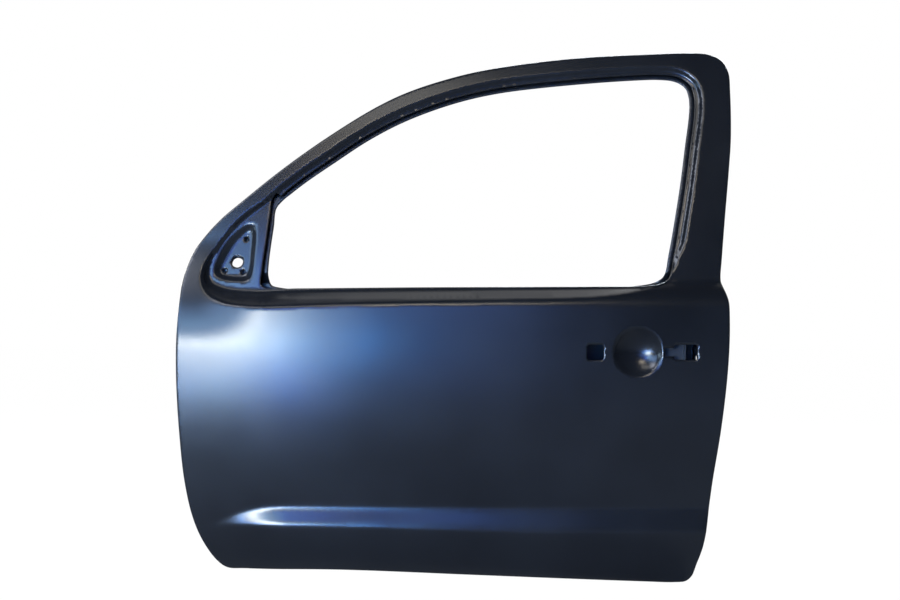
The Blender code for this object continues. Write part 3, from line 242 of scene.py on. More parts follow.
# Each noise by its scale, detail and roughness, and the part of its range that is used
NOISES = {
    "cloud": (5.0, 3.0, 0.55),
    "grain": (900.0, 2.0, 0.55),
    "dust": (260.0, 6.0, 0.75),
    "peel": (420.0, 2.0, 0.4),
    "lumps": (160.0, 6.0, 0.6),
}
NOISE_LOW, NOISE_HIGH = 0.3, 0.7

# Surround and lamps, in the part's frame
ROOM_COLOUR = (0.0014, 0.0014, 0.0014, 1)
FLOOR_SIZE = 30.0
FLOOR_DROP = 0.002
FLOOR_GREY = 0.30
FLOOR_WHITE = 0.96
FLOOR_GLOW = 1.04
BACKDROP_FROM, BACKDROP_TO = 0.05, 0.35
LAMP_AIM = (0.3, 0.0, 0.05)
LAMPS = {
    "window_head": ((-3.00, -4.20, 1.80), (2.70, 1.70), 122, (0.32, 0.55, 1.0)),
    "window_front": ((-1.40, -4.20, 0.13), (1.10, 0.40), 96, (0.90, 0.97, 1.0)),
    "window_foot": ((-1.34, -4.20, -0.42), (0.60, 0.25), 22, (0.33, 0.60, 1.0)),
    "window_edge": ((-2.00, -4.20, -0.50), (0.40, 0.40), 46, (0.18, 0.42, 1.0)),
    "window_low": ((-0.70, -4.20, -0.45), (0.50, 0.30), 19, (0.04, 0.20, 1.0)),
    "window_side": ((-0.70, -4.20, 0.0), (0.60, 0.34), 26, (0.22, 0.56, 1.0)),
    "window_rear": ((-0.10, -4.20, 0.0), (0.50, 0.30), 15, (0.06, 0.34, 1.0)),
    "pane_front": ((-1.60, -4.20, 0.65), (0.50, 0.30), 12, (0.14, 0.46, 1.0)),
    "pane_top": ((-1.30, -4.20, 1.30), (0.60, 0.40), 14, (0.33, 0.70, 1.0)),
    "pane_middle": ((0.30, -4.20, 0.65), (1.10, 0.50), 10, (0.13, 0.28, 1.0)),
    "pane_rear": ((-0.70, -4.20, 1.30), (0.90, 0.80), 24, (0.04, 0.16, 1.0)),
    "fill": ((0.30, -4.20, -0.20), (1.10, 0.80), 4, (0.24, 0.32, 1.0)),
    "ceiling": ((0.30, -4.20, 2.50), (1.30, 0.80), 32, (1.0, 0.88, 0.70)),
    "strip": ((-0.05, -2.20, 2.40), (1.40, 0.40), 8, (1.0, 0.96, 0.86)),
    "skylight": ((-1.50, -2.00, 2.40), (1.00, 1.00), 32, (0.82, 0.86, 1.0)),
    "side": ((-3.00, -1.60, 0.50), (0.60, 0.90), 16, (0.55, 0.78, 1.0)),
    "back_window": ((1.60, 3.40, 1.70), (2.20, 1.40), 150, (0.80, 0.90, 1.0)),
    "back_side": ((-1.90, 2.80, 0.60), (0.80, 1.20), 45, (1.0, 0.92, 0.82)),
}


# Outlines, as shares of the door's length and height
perimeter_shares = (
    (0.1250, 0.0261), (0.0900, 0.0270), (0.0717, 0.0409), (0.0471, 0.0801), (0.0301, 0.1252),
    (0.0170, 0.1925), (0.0092, 0.2783), (0.0046, 0.3652), (0.0040, 0.4435), (0.0071, 0.5130),
    (0.0112, 0.5583), (0.0189, 0.5883), (0.0308, 0.6182), (0.0518, 0.6483), (0.0783, 0.6783),
    (0.1119, 0.7085), (0.1828, 0.7693), (0.2631, 0.8308), (0.3565, 0.8931), (0.4200, 0.9248),
    (0.5168, 0.9567), (0.5958, 0.9728), (0.7210, 0.9890), (0.8373, 0.9963), (0.9260, 0.9997),
    (0.9633, 0.9974), (0.9875, 0.9843), (0.9988, 0.9609), (1.0000, 0.9217), (0.9968, 0.8311),
    (0.9904, 0.7693), (0.9798, 0.6779), (0.9720, 0.6029), (0.9685, 0.5635), (0.9708, 0.5504),
    (0.9772, 0.5248), (0.9788, 0.4870), (0.9777, 0.4348), (0.9732, 0.3711), (0.9633, 0.2830),
    (0.9503, 0.1943), (0.9417, 0.1217), (0.9333, 0.0696), (0.9236, 0.0364), (0.9167, 0.0130),
    (0.9067, 0.0026), (0.8875, 0.0003), (0.8247, 0.0024), (0.5407, 0.0152), (0.2917, 0.0261),
)
arch_shares = (
    (0.1871, 0.7144), (0.2228, 0.7443), (0.2803, 0.7865), (0.3380, 0.8273), (0.3961, 0.8607),
    (0.4545, 0.8863), (0.5133, 0.9063), (0.5722, 0.9203), (0.6311, 0.9293), (0.7494, 0.9418),
    (0.8300, 0.9477), (0.8720, 0.9490), (0.9010, 0.9455), (0.9200, 0.9340), (0.9270, 0.9130),
    (0.9260, 0.8809), (0.9162, 0.8179), (0.9043, 0.7403), (0.8934, 0.6791), (0.8850, 0.6337),
)
opening_foot_shares = (
    (0.8788, 0.6035), (0.8748, 0.5809), (0.8690, 0.5652), (0.8528, 0.5565), (0.8276, 0.5517),
    (0.7900, 0.5485), (0.7083, 0.5470), (0.4167, 0.5457), (0.2200, 0.5450), (0.1792, 0.5483),
    (0.1654, 0.5530), (0.1615, 0.5640), (0.1622, 0.5960), (0.1653, 0.6262), (0.1700, 0.6641),
    (0.1735, 0.6970),
)
lip_foot_shares = (
    (0.8866, 0.6017), (0.8820, 0.5791), (0.8745, 0.5620), (0.8600, 0.5545), (0.8375, 0.5507),
    (0.7500, 0.5496), (0.4167, 0.5483), (0.2200, 0.5465), (0.1600, 0.5465), (0.1500, 0.5520),
    (0.1508, 0.5739), (0.1571, 0.6296), (0.1637, 0.6870), (0.1668, 0.7130), (0.1760, 0.7260),
)
step_foot_shares = (
    ((0.8961, 0.6085), (0.8880, 0.6030)), ((0.8850, 0.5808), (0.8740, 0.5720)),
    ((0.8625, 0.5591), (0.8540, 0.5605)), ((0.8208, 0.5409), (0.8100, 0.5560)),
    ((0.7500, 0.5270), (0.7500, 0.5552)), ((0.5755, 0.5200), (0.5755, 0.5545)),
    ((0.4150, 0.5165), (0.4150, 0.5535)), ((0.2917, 0.5130), (0.2917, 0.5520)),
    ((0.1883, 0.5091), (0.1980, 0.5478)), ((0.1404, 0.5087), (0.1488, 0.5445)),
    ((0.1154, 0.5111), (0.1188, 0.5462)), ((0.0928, 0.5152), (0.0922, 0.5490)),
    ((0.0735, 0.5230), (0.0728, 0.5546)), ((0.0588, 0.5322), (0.0600, 0.5621)),
    ((0.0470, 0.5480), (0.0556, 0.5728)), ((0.0436, 0.5690), (0.0558, 0.5846)),
    ((0.0480, 0.5897), (0.0592, 0.5977)), ((0.0564, 0.6069), (0.0678, 0.6146)),
    ((0.0699, 0.6250), (0.0813, 0.6345)), ((0.0846, 0.6463), (0.0959, 0.6541)),
    ((0.1019, 0.6699), (0.1184, 0.6757)), ((0.1292, 0.6952), (0.1456, 0.6981)),
    ((0.1566, 0.7140), (0.1695, 0.7180)),
)
pocket_rim_shares = (
    (0.1336, 0.6701), (0.1400, 0.6640), (0.1411, 0.6540), (0.1385, 0.6150), (0.1356, 0.5807),
    (0.1330, 0.5650), (0.1260, 0.5585), (0.1100, 0.5580), (0.0850, 0.5610), (0.0664, 0.5696),
    (0.0640, 0.5808), (0.0742, 0.6174), (0.0960, 0.6490), (0.1180, 0.6670),
)
pocket_floor_shares = (
    (0.1272, 0.6530), (0.1310, 0.6430), (0.1300, 0.6100), (0.1280, 0.5850), (0.1240, 0.5750),
    (0.1150, 0.5700), (0.0950, 0.5705), (0.0800, 0.5740), (0.0760, 0.5810), (0.0860, 0.6020),
    (0.0990, 0.6260), (0.1150, 0.6440),
)
main_access_shares = (
    (0.3100, 0.2350), (0.6500, 0.2250), (0.6850, 0.2500), (0.6900, 0.4050), (0.6650, 0.4300),
    (0.3350, 0.4300), (0.2950, 0.4050), (0.2850, 0.2600),
)
rear_access_shares = (
    (0.7450, 0.1300), (0.8650, 0.1350), (0.8850, 0.1550), (0.8900, 0.2650), (0.8700, 0.2850),
    (0.7600, 0.2850), (0.7350, 0.2650), (0.7250, 0.1500),
)
front_access_shares = (
    (0.1250, 0.3300), (0.2050, 0.3300), (0.2250, 0.3500), (0.2250, 0.4350), (0.2050, 0.4550),
    (0.1250, 0.4550), (0.1050, 0.4350), (0.1050, 0.3500),
)
handle_access_shares = (
    (0.7750, 0.3350), (0.8550, 0.3350), (0.8750, 0.3500), (0.8750, 0.3900), (0.8550, 0.4050),
    (0.7750, 0.4050), (0.7550, 0.3900), (0.7550, 0.3500),
)
speaker_place_shares = (0.1950, 0.1850)
clip_place_shares = (
    (0.0750, 0.2700), (0.0750, 0.4200), (0.2700, 0.4820), (0.5000, 0.4820), (0.7250, 0.4820),
    (0.9100, 0.3200), (0.8950, 0.1050), (0.6800, 0.1000), (0.4500, 0.1000), (0.3000, 0.1050),
)
mirror_nut_shares = ((0.1215, 0.6390), (0.0834, 0.5800), (0.1165, 0.5775))
wall_foot_shares = (
    (1.0237, 0.6480), (1.0123, 0.6000), (1.0020, 0.5550), (1.0000, 0.5200), (1.0000, 0.4400),
    (1.0000, 0.3400), (1.0000, 0.2400), (0.9975, 0.1900), (0.9850, 0.1200), (0.9670, 0.0700),
    (0.9385, 0.0470), (0.8870, 0.0400), (0.7170, 0.0480), (0.4560, 0.0580), (0.2290, 0.0630),
    (0.0930, 0.0640), (0.0416, 0.0760), (0.0110, 0.1050), (0.0010, 0.1400), (0.0000, 0.1600),
    (0.0000, 0.1800), (0.0000, 0.3500), (0.0000, 0.5000), (0.0000, 0.5200), (0.0000, 0.5400),
    (0.0003, 0.5800), (0.0064, 0.6170),
)


def scaled(shares):
    return np.array(shares) * (DOOR_LENGTH, DOOR_HEIGHT)


def ease(value):
    value = np.clip(value, 0, 1)
    return value * value * (3 - 2 * value)


def even(value, bend):
    """0 to 1 at a steady rate, with a share of the run rounded at each end."""
    value = np.clip(value, 0, 1)
    rate = 1 / (1 - bend)
    low = rate * value**2 / (2 * bend)
    high = 1 - rate * (1 - value) ** 2 / (2 * bend)
    middle = rate * (value - bend / 2)
    return np.where(value < bend, low, np.where(value > 1 - bend, high, middle))


def catmull(points, knots, t):
    """One point of a Catmull-Rom curve, by its four control points and their knots."""
    row = list(points)
    for level in (1, 2):
        row = [
            ((knots[k + level] - t) * row[k] + (t - knots[k]) * row[k + 1]) / (knots[k + level] - knots[k])
            for k in range(len(row) - 1)
        ]
    return ((knots[2] - t) * row[0] + (t - knots[1]) * row[1]) / (knots[2] - knots[1])


def spline(points, closed=True, step=None):
    """Dense points of a smooth curve through the given ones."""
    points = np.asarray(points, float)
    step = step or DENSE_STEP
    if closed:
        padded = np.vstack([points[-1], points, points[:2]])
    else:
        padded = np.vstack([2 * points[0] - points[1], points, 2 * points[-1] - points[-2]])
    found = []
    for four in zip(padded, padded[1:], padded[2:], padded[3:]):
        gaps = [math.sqrt(np.linalg.norm(b - a)) for a, b in zip(four, four[1:])]
        knots = np.cumsum([0] + gaps)
        count = max(1, round(np.linalg.norm(four[2] - four[1]) / step))
        for t in np.linspace(knots[1], knots[2], count, endpoint=False):
            found.append(catmull(four, knots, t))
    return np.array(found if closed else found + [points[-1]])


def area(loop):
    x, z = np.asarray(loop).T
    return 0.5 * np.sum(x * np.roll(z, -1) - np.roll(x, -1) * z)


def inset(loop, margin):
    """The closed loop moved towards its inside, with its points kept in step."""
    ahead = np.roll(loop, -1, 0) - np.roll(loop, 1, 0)
    ahead = ahead / np.linalg.norm(ahead, axis=1)[:, None]
    inward = np.column_stack([-ahead[:, 1], ahead[:, 0]]) * np.sign(area(loop))
    return loop + inward * margin


def inside(points, loop):
    a, b = np.asarray(loop), np.roll(loop, -1, 0)
    rise = np.where(b[:, 1] == a[:, 1], 1, b[:, 1] - a[:, 1])
    found = []
    for part in np.array_split(points, len(points) // CHUNK + 1):
        x, z = part[:, :1], part[:, 1:2]
        spans = (a[:, 1] > z) != (b[:, 1] > z)
        crossing = (b[:, 0] - a[:, 0]) * (z - a[:, 1]) / rise + a[:, 0]
        found.append((spans & (x < crossing)).sum(1) % 2 == 1)
    return np.concatenate(found)


def distance(points, line, closed=True):
    a = np.asarray(line, float)
    b = np.roll(a, -1, 0) if closed else a[1:]
    a = a if closed else a[:-1]
    along = b - a
    found = []
    for part in np.array_split(points, len(points) // CHUNK + 1):
        share = ((part[:, None] - a) * along).sum(2) / (along**2).sum(1)
        nearest = a + np.clip(share, 0, 1)[..., None] * along
        found.append(np.linalg.norm(part[:, None] - nearest, axis=2).min(1))
    return np.concatenate(found)


def ramp(points, outer, inner):
    """0 outside the outer loop, 1 inside the inner one, rising evenly between them."""
    within, core = inside(points, outer), inside(points, inner)
    share = np.where(within & core, 1.0, 0.0)
    band = within & ~core
    if band.any():
        far, near = distance(points[band], outer), distance(points[band], inner)
        share[band] = far / (far + near + SMALL)
    return share


def circle(x, z, radius, sides=None):
    turns = np.arange(sides or HOLE_SIDES) * 2 * math.pi / (sides or HOLE_SIDES)
    return np.column_stack([x + radius * np.cos(turns), z + radius * np.sin(turns)])


def rounded_box(x, z, length, height, corner, steps=SLOT_CORNER_STEPS):
    """A rectangle with round corners, about its centre."""
    found = []
    for quarter, (sx, sz) in enumerate(((1, 1), (-1, 1), (-1, -1), (1, -1))):
        for k in range(steps):
            turn = (quarter + k / (steps - 1)) * math.pi / 2
            found.append((
                x + sx * (length / 2 - corner) + corner * math.cos(turn),
                z + sz * (height / 2 - corner) + corner * math.sin(turn),
            ))
    return np.array(found)


def arch(margin):
    """The frame's head and rear as control points, a margin outside the clear opening."""
    line = spline(scaled(arch_shares), closed=False)
    ahead = np.gradient(line, axis=0)
    ahead /= np.linalg.norm(ahead, axis=1)[:, None]
    moved = line + np.column_stack([-ahead[:, 1], ahead[:, 0]]) * margin
    return moved[:: max(1, round(ARCH_STEP / DENSE_STEP))]


def framed(margin, foot_shares):
    return spline(np.vstack([arch(margin), scaled(foot_shares)]))


def wall_foot():
    """Where the deep wall starts: the frame's crown, then down round the trim face."""
    crown = inset(PERIMETER, CROWN_MARGIN)
    crown = crown[crown[:, 1] > CROWN_ARCH_FOOT][:: max(1, round(ARCH_STEP / DENSE_STEP))]
    foot = np.array(wall_foot_shares) * (LATCH_WALL - HINGE_WALL, DOOR_HEIGHT) + (HINGE_WALL, 0)
    return spline(np.vstack([crown, foot]))


def frame_depth(z):
    rise = (z - BELT_HEIGHT) / (DOOR_HEIGHT - BELT_HEIGHT)
    curved = rise * np.abs(rise)
    return FRAME_FOOT_DEPTH + FRAME_LEAN * (straight_lean_share * rise + (1 - straight_lean_share) * curved)


def body_depth(z):
    below = np.clip((WAIST_HEIGHT - z) / WAIST_HEIGHT, 0, None)
    above = np.clip((z - WAIST_HEIGHT) / SHOULDER_REACH, 0, None)
    return LOWER_TUCK * below**2 + UPPER_TUCK * above**2


def plan_depth(x):
    front = np.clip((FRONT_CROWN_LENGTH - x) / FRONT_CROWN_LENGTH, 0, None)
    rear = np.clip((x - DOOR_LENGTH + FRONT_CROWN_LENGTH) / FRONT_CROWN_LENGTH, 0, None)
    return FRONT_CROWN * front**2 + REAR_CROWN * rear**2


def ledge_edges(x):
    """How far the ledge has grown from its tip, and the heights of its two creases."""
    reach = np.clip((x - LEDGE_TIP_REACH) / (LEDGE_FULL_REACH - LEDGE_TIP_REACH), 0, 1)
    top = LEDGE_TIP_HEIGHT + (LEDGE_TOP - LEDGE_TIP_HEIGHT) * (1 - (1 - reach) ** LEDGE_TIP_BEND)
    foot = LEDGE_FOOT - LEDGE_FOOT_DROP * ease((x - LEDGE_FULL_REACH) / (DOOR_LENGTH / 2))
    return reach, top, foot


def ledge_depth(x, z):
    """How far the rocker stands out, which is negative, and then turns under."""
    reach, top, foot = ledge_edges(x)
    drop = (top - z) / np.maximum(top - foot, LEDGE_FOOT_DROP / 2)
    under = np.clip((TURN_UNDER_HEIGHT - z) / TURN_UNDER_HEIGHT, 0, None)
    return TURN_UNDER * under**2 - LEDGE_DEPTH * ease(reach) * even(drop, crease_share)


def smooth_depth(x, z):
    """The outer face without its shoulder, step, ledge and pockets."""
    lean = ease((z - FRONT_BLEND_START) / (FRONT_BLEND_END - FRONT_BLEND_START))
    return body_depth(z) * (1 - lean) + frame_depth(z) * lean + plan_depth(x)


def plain_depth(x, z):
    """The outer face with its shoulder, which dies away towards the front."""
    rise = np.clip((z - SHOULDER_START) / (BELT_HEIGHT - SHOULDER_START), 0, 1)
    roll = rise**2 * (1 + roll_share - roll_share * rise)
    sharp = body_depth(z) * (1 - roll) + frame_depth(z) * roll + plan_depth(x)
    front = ease((x - FRONT_BLEND_FROM) / FRONT_BLEND_LENGTH)
    return sharp * front + smooth_depth(x, z) * (1 - front)


def sunk_depth(x, z):
    """The face inside the pressed step: the sail and the land round the glass."""
    return frame_depth(z) + plan_depth(x) + FRAME_STEP


def pocket_depth(x, z):
    """The flat floor of the mirror pocket."""
    run = SLOPE_STEP
    here = sunk_depth(MIRROR_X, MIRROR_Z)
    lean = (sunk_depth(MIRROR_X, MIRROR_Z + run) - here) / run
    turn = (sunk_depth(MIRROR_X + run, MIRROR_Z) - here) / run
    return here + lean * (z - MIRROR_Z) + turn * (x - MIRROR_X) + POCKET_DEPTH


def cup_depth(x, z):
    """The bowl behind the outside handle."""
    ball = (CUP_RADIUS**2 + CUP_DEPTH**2) / (2 * CUP_DEPTH)
    off = np.hypot(x - HANDLE_X, z - HANDLE_Z)
    return np.sqrt(np.maximum(ball**2 - np.minimum(off, CUP_RADIUS) ** 2, 0)) - (ball - CUP_DEPTH)


def skin_depth(points):
    """The finished outer face, at (x, z) points."""
    x, z = points[:, 0], points[:, 1]
    step = ease(ramp(points, STEP_OUTER, STEP_INNER))
    pocket = ease(ramp(points, POCKET_RIM, POCKET_FLOOR))
    depth = plain_depth(x, z) * (1 - step) + sunk_depth(x, z) * step
    depth = depth * (1 - pocket) + pocket_depth(x, z) * pocket
    return depth + ledge_depth(x, z) + cup_depth(x, z)


def box_depth(points):
    """The inner panel inside its deep wall: frame crown, sill band and trim face."""
    x, z = points[:, 0], points[:, 1]
    crown = smooth_depth(x, z) + CROWN_DEPTH
    band = ease((CROWN_BLEND_TOP - z) / (CROWN_BLEND_TOP - BELT_HEIGHT))
    upper = crown * (1 - band) + SILL_DEPTH * band
    low = ease((SILL_BAND_FOOT - z) / (SILL_BAND_FOOT - TRIM_TOP))
    speaker = np.hypot(x - SPEAKER[0], z - SPEAKER[1])
    ring = ease((SPEAKER_RING - speaker) / SPEAKER_RISE)
    return upper * (1 - low) + (TRIM_DEPTH + SPEAKER_RISE * ring) * low


def inner_depth(points):
    """The cavity side of the inner panel inside its hem flange, at (x, z) points."""
    x, z = points[:, 0], points[:, 1]
    land = smooth_depth(x, z) + LAND_DEPTH
    wall = ramp(points, WALL_FOOT, WALL_HEAD)
    channel = ramp(points, CHANNEL_EDGE, LIP) * np.clip((z - BELT_HEIGHT) / CHANNEL_FADE, 0, 1)
    depth = land * (1 - wall) + box_depth(points) * wall
    return depth * (1 - channel) + (sunk_depth(x, z) + CHANNEL_DEPTH) * channel


def placed(points, depth):
    return np.column_stack([points[:, 0], depth, points[:, 1]])


def normals(points, depth_of, depth):
    """Unit normals out of the face, by stepping a little each way."""
    step = SLOPE_STEP
    across = (depth_of(points + (step, 0)) - depth) / step
    up = (depth_of(points + (0, step)) - depth) / step
    normal = np.column_stack([across, -np.ones(len(points)), up])
    return normal / np.linalg.norm(normal, axis=1)[:, None]


def squared(points):
    """Draws the draft of the hinge and latch walls in, so that they stand square."""
    x, z = points[:, 0], points[:, 1]
    spans = (
        (HINGE_WALL, 1, HINGE_WALL_FOOT, HINGE_WALL_HEAD),
        (LATCH_WALL, -1, LATCH_WALL_FOOT, LATCH_WALL_HEAD),
    )
    for wall, way, foot, head in spans:
        beyond = (x - wall) * way
        pull = np.where(beyond <= WALL_DRAFT, beyond, WALL_DRAFT * (1 - (beyond - WALL_DRAFT) / WALL_EASE))
        window = ease((z - foot + WALL_EASE) / WALL_EASE) * ease((head + WALL_FADE - z) / WALL_FADE)
        x = x - way * np.clip(pull, 0, None) * window
    return np.column_stack([x, z])


def thin(line, step=None, bend=None):
    """Which points of a dense line to keep, closer together where it turns."""
    leg = np.diff(line, axis=0)
    length = np.linalg.norm(leg, axis=1)
    way = leg / length[:, None]
    turn = np.arccos(np.clip((way[1:] * way[:-1]).sum(1), -1, 1))
    keep, run, turned = [0], 0, 0
    for k in range(1, len(line) - 1):
        run += length[k - 1]
        turned += turn[k - 1]
        if run >= (step or EDGE_STEP) or turned >= (bend or EDGE_BEND):
            keep.append(k)
            run = turned = 0
    return keep


def on_face(line, depth_of):
    return placed(line, depth_of(line))


def thinned(line, depth_of, step=None, bend=None):
    return line[thin(on_face(line, depth_of), step, bend)]


def stretches(line, closed, walls, space):
    """The edges of a feature line that keep clear of the holes and the rim."""
    clear = inside(line, walls[0])
    for number, wall in enumerate(walls):
        clear &= distance(line, wall) > space
        if number:
            clear &= ~inside(line, wall)
    count = len(line)
    pairs = [(k, (k + 1) % count) for k in range(count if closed else count - 1)]
    return clear, [pair for pair in pairs if clear[pair[0]] and clear[pair[1]]]


def grid(low, high, step):
    """Evenly spread points over a box, in rows set half a step apart."""
    row = step * math.sqrt(3) / 2
    rows, columns = math.ceil((high[1] - low[1]) / row), math.ceil((high[0] - low[0]) / step)
    i, j = np.meshgrid(np.arange(columns), np.arange(rows))
    return np.column_stack([(low[0] + (i + 0.5 * (j % 2)) * step).ravel(), (low[1] + j * row).ravel()])


def filling(rim, holes, lines, step):
    """Points spread over the patch, close together near its lines and further apart elsewhere."""
    dense = [np.vstack([loop, loop[:1]]) for loop in [rim] + holes]
    dense += [np.vstack([line, line[:1]]) if closed else line for line, closed in lines]
    marks = np.vstack([split(line, FINE_STEP) for line in dense])
    tree = KDTree(len(marks))
    for number, (x, z) in enumerate(marks):
        tree.insert((x, z, 0), number)
    tree.balance()
    found = []
    spans = ((FINE_STEP, FINE_STEP * fine_space_share, FINE_BAND), (step, FINE_BAND, math.inf))
    for spacing, nearest, furthest in spans:
        points = grid(rim.min(0), rim.max(0), spacing)
        points = points[inside(points, rim)]
        for hole in holes:
            points = points[~inside(points, hole)]
        off = np.array([tree.find((x, z, 0))[2] for x, z in points])
        found.append(points[(off > nearest) & (off <= furthest)])
    return np.vstack(found)


def split(line, step):
    """The line with extra points, so that none are more than a step apart."""
    found = []
    for a, b in zip(line, line[1:]):
        count = max(1, math.ceil(np.linalg.norm(b - a) / step))
        found += [a + (b - a) * k / count for k in range(count)]
    return np.array(found)


def patch(rim, holes, lines, step):
    """A triangle net over (x, z): its points, its faces, and where the rim and hole points went."""
    points, edges, loops = [], [], []
    for loop in [rim] + holes:
        first = len(points)
        points.extend(loop)
        edges.extend((first + k, first + (k + 1) % len(loop)) for k in range(len(loop)))
        loops.append(range(first, len(points)))
    for line, closed in lines:
        clear, pairs = stretches(line, closed, [rim] + holes, LINE_SPACE)
        place = np.cumsum(clear) - 1 + len(points)
        points.extend(line[clear])
        edges.extend((int(place[a]), int(place[b])) for a, b in pairs)
    points.extend(filling(rim, holes, lines, step))
    made, _, faces, origin, _, _ = delaunay_2d_cdt([Vector(p) for p in points], edges, [], 0, MERGE)
    made = np.array(made)
    faces = np.array(faces)
    middle = made[faces].mean(1)
    keep = inside(middle, rim)
    for hole in holes:
        keep &= ~inside(middle, hole)
    target = {old: new for new, olds in enumerate(origin) for old in olds}
    return made, faces[keep], [[target[k] for k in loop] for loop in loops]


def strip(inner, outer):
    """Triangles between two closed rings of point numbers, all split the same way."""
    faces = []
    for k in range(len(inner)):
        after = (k + 1) % len(inner)
        faces.append((inner[k], inner[after], outer[after]))
        faces.append((inner[k], outer[after], outer[k]))
    return faces


def add_ring(points, ring):
    first = len(points)
    points.extend(ring)
    return list(range(first, len(points)))


PERIMETER = spline(scaled(perimeter_shares))
OPENING = framed(0, opening_foot_shares)
LIP = framed(LIP_MARGIN, lip_foot_shares)
STEP_OUTER = framed(STEP_OUTER_MARGIN, [pair[0] for pair in step_foot_shares])
STEP_INNER = framed(STEP_INNER_MARGIN, [pair[1] for pair in step_foot_shares])
POCKET_RIM = spline(scaled(pocket_rim_shares))
POCKET_FLOOR = spline(scaled(pocket_floor_shares))
CHANNEL_EDGE = inset(LIP, -CHANNEL_RISE)
WALL_FOOT = wall_foot()
WALL_HEAD = inset(WALL_FOOT, WALL_DRAFT)
SPEAKER = scaled(speaker_place_shares)
EDGE_STATIONS = thin(on_face(PERIMETER, skin_depth))
LIP_STATIONS = thin(on_face(LIP, skin_depth))
SHIFT = Vector((SHEET - HINGE_WALL, -HINGE_Y, -UPPER_HINGE_Z))


def sheet(name, points, faces, look):
    """One pressed sheet from its outer face, thickened inwards."""
    mesh = bpy.data.meshes.new(name)
    work = bmesh.new()
    made = [work.verts.new(Vector(p) + SHIFT) for p in points]
    for face in faces:
        work.faces.new([made[k] for k in face])
    bmesh.ops.delete(work, geom=[v for v in work.verts if not v.link_faces], context="VERTS")
    bmesh.ops.recalc_face_normals(work, faces=work.faces)
    if sum(face.normal.y * face.calc_area() for face in work.faces) > 0:
        bmesh.ops.reverse_faces(work, faces=work.faces)
    for face in work.faces:
        face.smooth = True
    work.to_mesh(mesh)
    work.free()
    panel = bpy.data.objects.new(name, mesh)
    bpy.context.scene.collection.objects.link(panel)
    mesh.materials.append(look)
    solid = panel.modifiers.new("Sheet", "SOLIDIFY")
    solid.thickness = SHEET
    solid.offset = -1
    solid.use_even_offset = True
    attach(panel, "root")
    return panel


def hem_ring(margin, offset):
    line = inset(PERIMETER, margin)[EDGE_STATIONS]
    depth = skin_depth(line)
    return placed(line, depth) - normals(line, skin_depth, depth) * offset


def hem_fold():
    """The rings round the fold of the hem, from the skin's edge to its back."""
    edge, inner = hem_ring(HEM_RADIUS, 0), hem_ring(2 * HEM_RADIUS, 0)
    back = hem_ring(HEM_RADIUS, 2 * HEM_RADIUS)
    out = (edge - inner) / np.linalg.norm(edge - inner, axis=1)[:, None]
    middle, up = (edge + back) / 2, (edge - back) / 2
    turns = [math.pi * k / FOLD_STEPS for k in range(1, FOLD_STEPS + 1)]
    return [middle + up * math.cos(t) + out * HEM_RADIUS * math.sin(t) for t in turns]


def handle_apertures():
    """The plain hole ahead of the handle bowl, and the stepped one behind it."""
    corner = (APERTURE_HEIGHT, PLATE_CORNER, CORNER_STEPS)
    front = rounded_box(APERTURE_FRONT_X, HANDLE_Z, APERTURE_FRONT_LENGTH, *corner)
    rear = rounded_box(APERTURE_REAR_X, HANDLE_Z, APERTURE_REAR_LENGTH, *corner)
    left = rear[:, 0].min()
    neck = left - APERTURE_NECK_LENGTH
    top = HANDLE_Z + APERTURE_NECK_HEIGHT / 2
    foot = HANDLE_Z - APERTURE_NECK_HEIGHT / 2
    turn = len(rear) // 2
    rear = np.vstack([rear[:turn], [(left, top), (neck, top), (neck, foot), (left, foot)], rear[turn:]])
    return [front, rear]


def ledge_lines():
    """The upper and lower creases of the ledge."""
    x = np.linspace(LEDGE_TIP_REACH, DOOR_LENGTH, LEDGE_STATIONS)[:-1]
    _, top, foot = ledge_edges(x)
    lines = [np.column_stack([x, top])[1:], np.column_stack([x, foot])[1:]]
    return lines + [np.column_stack([x, (top + foot) / 2])[2:]]


def outer_panel(look):
    """The skin with its hem, pockets and openings."""
    rim = inset(PERIMETER, HEM_RADIUS)[EDGE_STATIONS]
    lip = LIP[LIP_STATIONS]
    edge = inset(LIP, -LIP_RADIUS)[LIP_STATIONS]
    holes = [edge, circle(MIRROR_X, MIRROR_Z, MIRROR_HOLE_RADIUS)] + handle_apertures()
    holes += [circle(x, z, NUT_BORE) for x, z in scaled(mirror_nut_shares)]
    lines = [
        (thinned(STEP_OUTER, skin_depth), True),
        (thinned(STEP_INNER, skin_depth), True),
        (thinned(POCKET_RIM, skin_depth), True),
        (thinned(POCKET_FLOOR, skin_depth), True),
        (circle(HANDLE_X, HANDLE_Z, CUP_RADIUS, CUP_SIDES), True),
    ]
    lines += [(line, False) for line in ledge_lines()]
    net, faces, loops = patch(rim, holes, lines, FILL_STEP)
    points = list(placed(net, skin_depth(net)))
    faces = [tuple(face) for face in faces]
    rings = [loops[0]] + [add_ring(points, ring) for ring in hem_fold()]
    rings.append(add_ring(points, hem_ring(HEM_RETURN, 2 * HEM_RADIUS)))
    for first, second in zip(rings, rings[1:]):
        faces += strip(first, second)
    face = skin_depth(edge)
    rise = np.clip((lip[:, 1] - BELT_HEIGHT) / CHANNEL_FADE, 0, 1)
    reach = SILL_RETURN + (CHANNEL_DEPTH - CLEARANCE - SILL_RETURN) * rise
    rings = [loops[1]]
    for k in range(1, FOLD_STEPS + 1):
        turn = math.pi / 2 * k / FOLD_STEPS
        line = edge + (lip - edge) * math.sin(turn)
        rings.append(add_ring(points, placed(line, face + LIP_RADIUS * (1 - math.cos(turn)))))
    rings.append(add_ring(points, placed(lip, face + reach)))
    for first, second in zip(rings, rings[1:]):
        faces += strip(first, second)
    panel = sheet("pressed_skin", points, faces, look)
    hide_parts("outer_panel")
    return panel


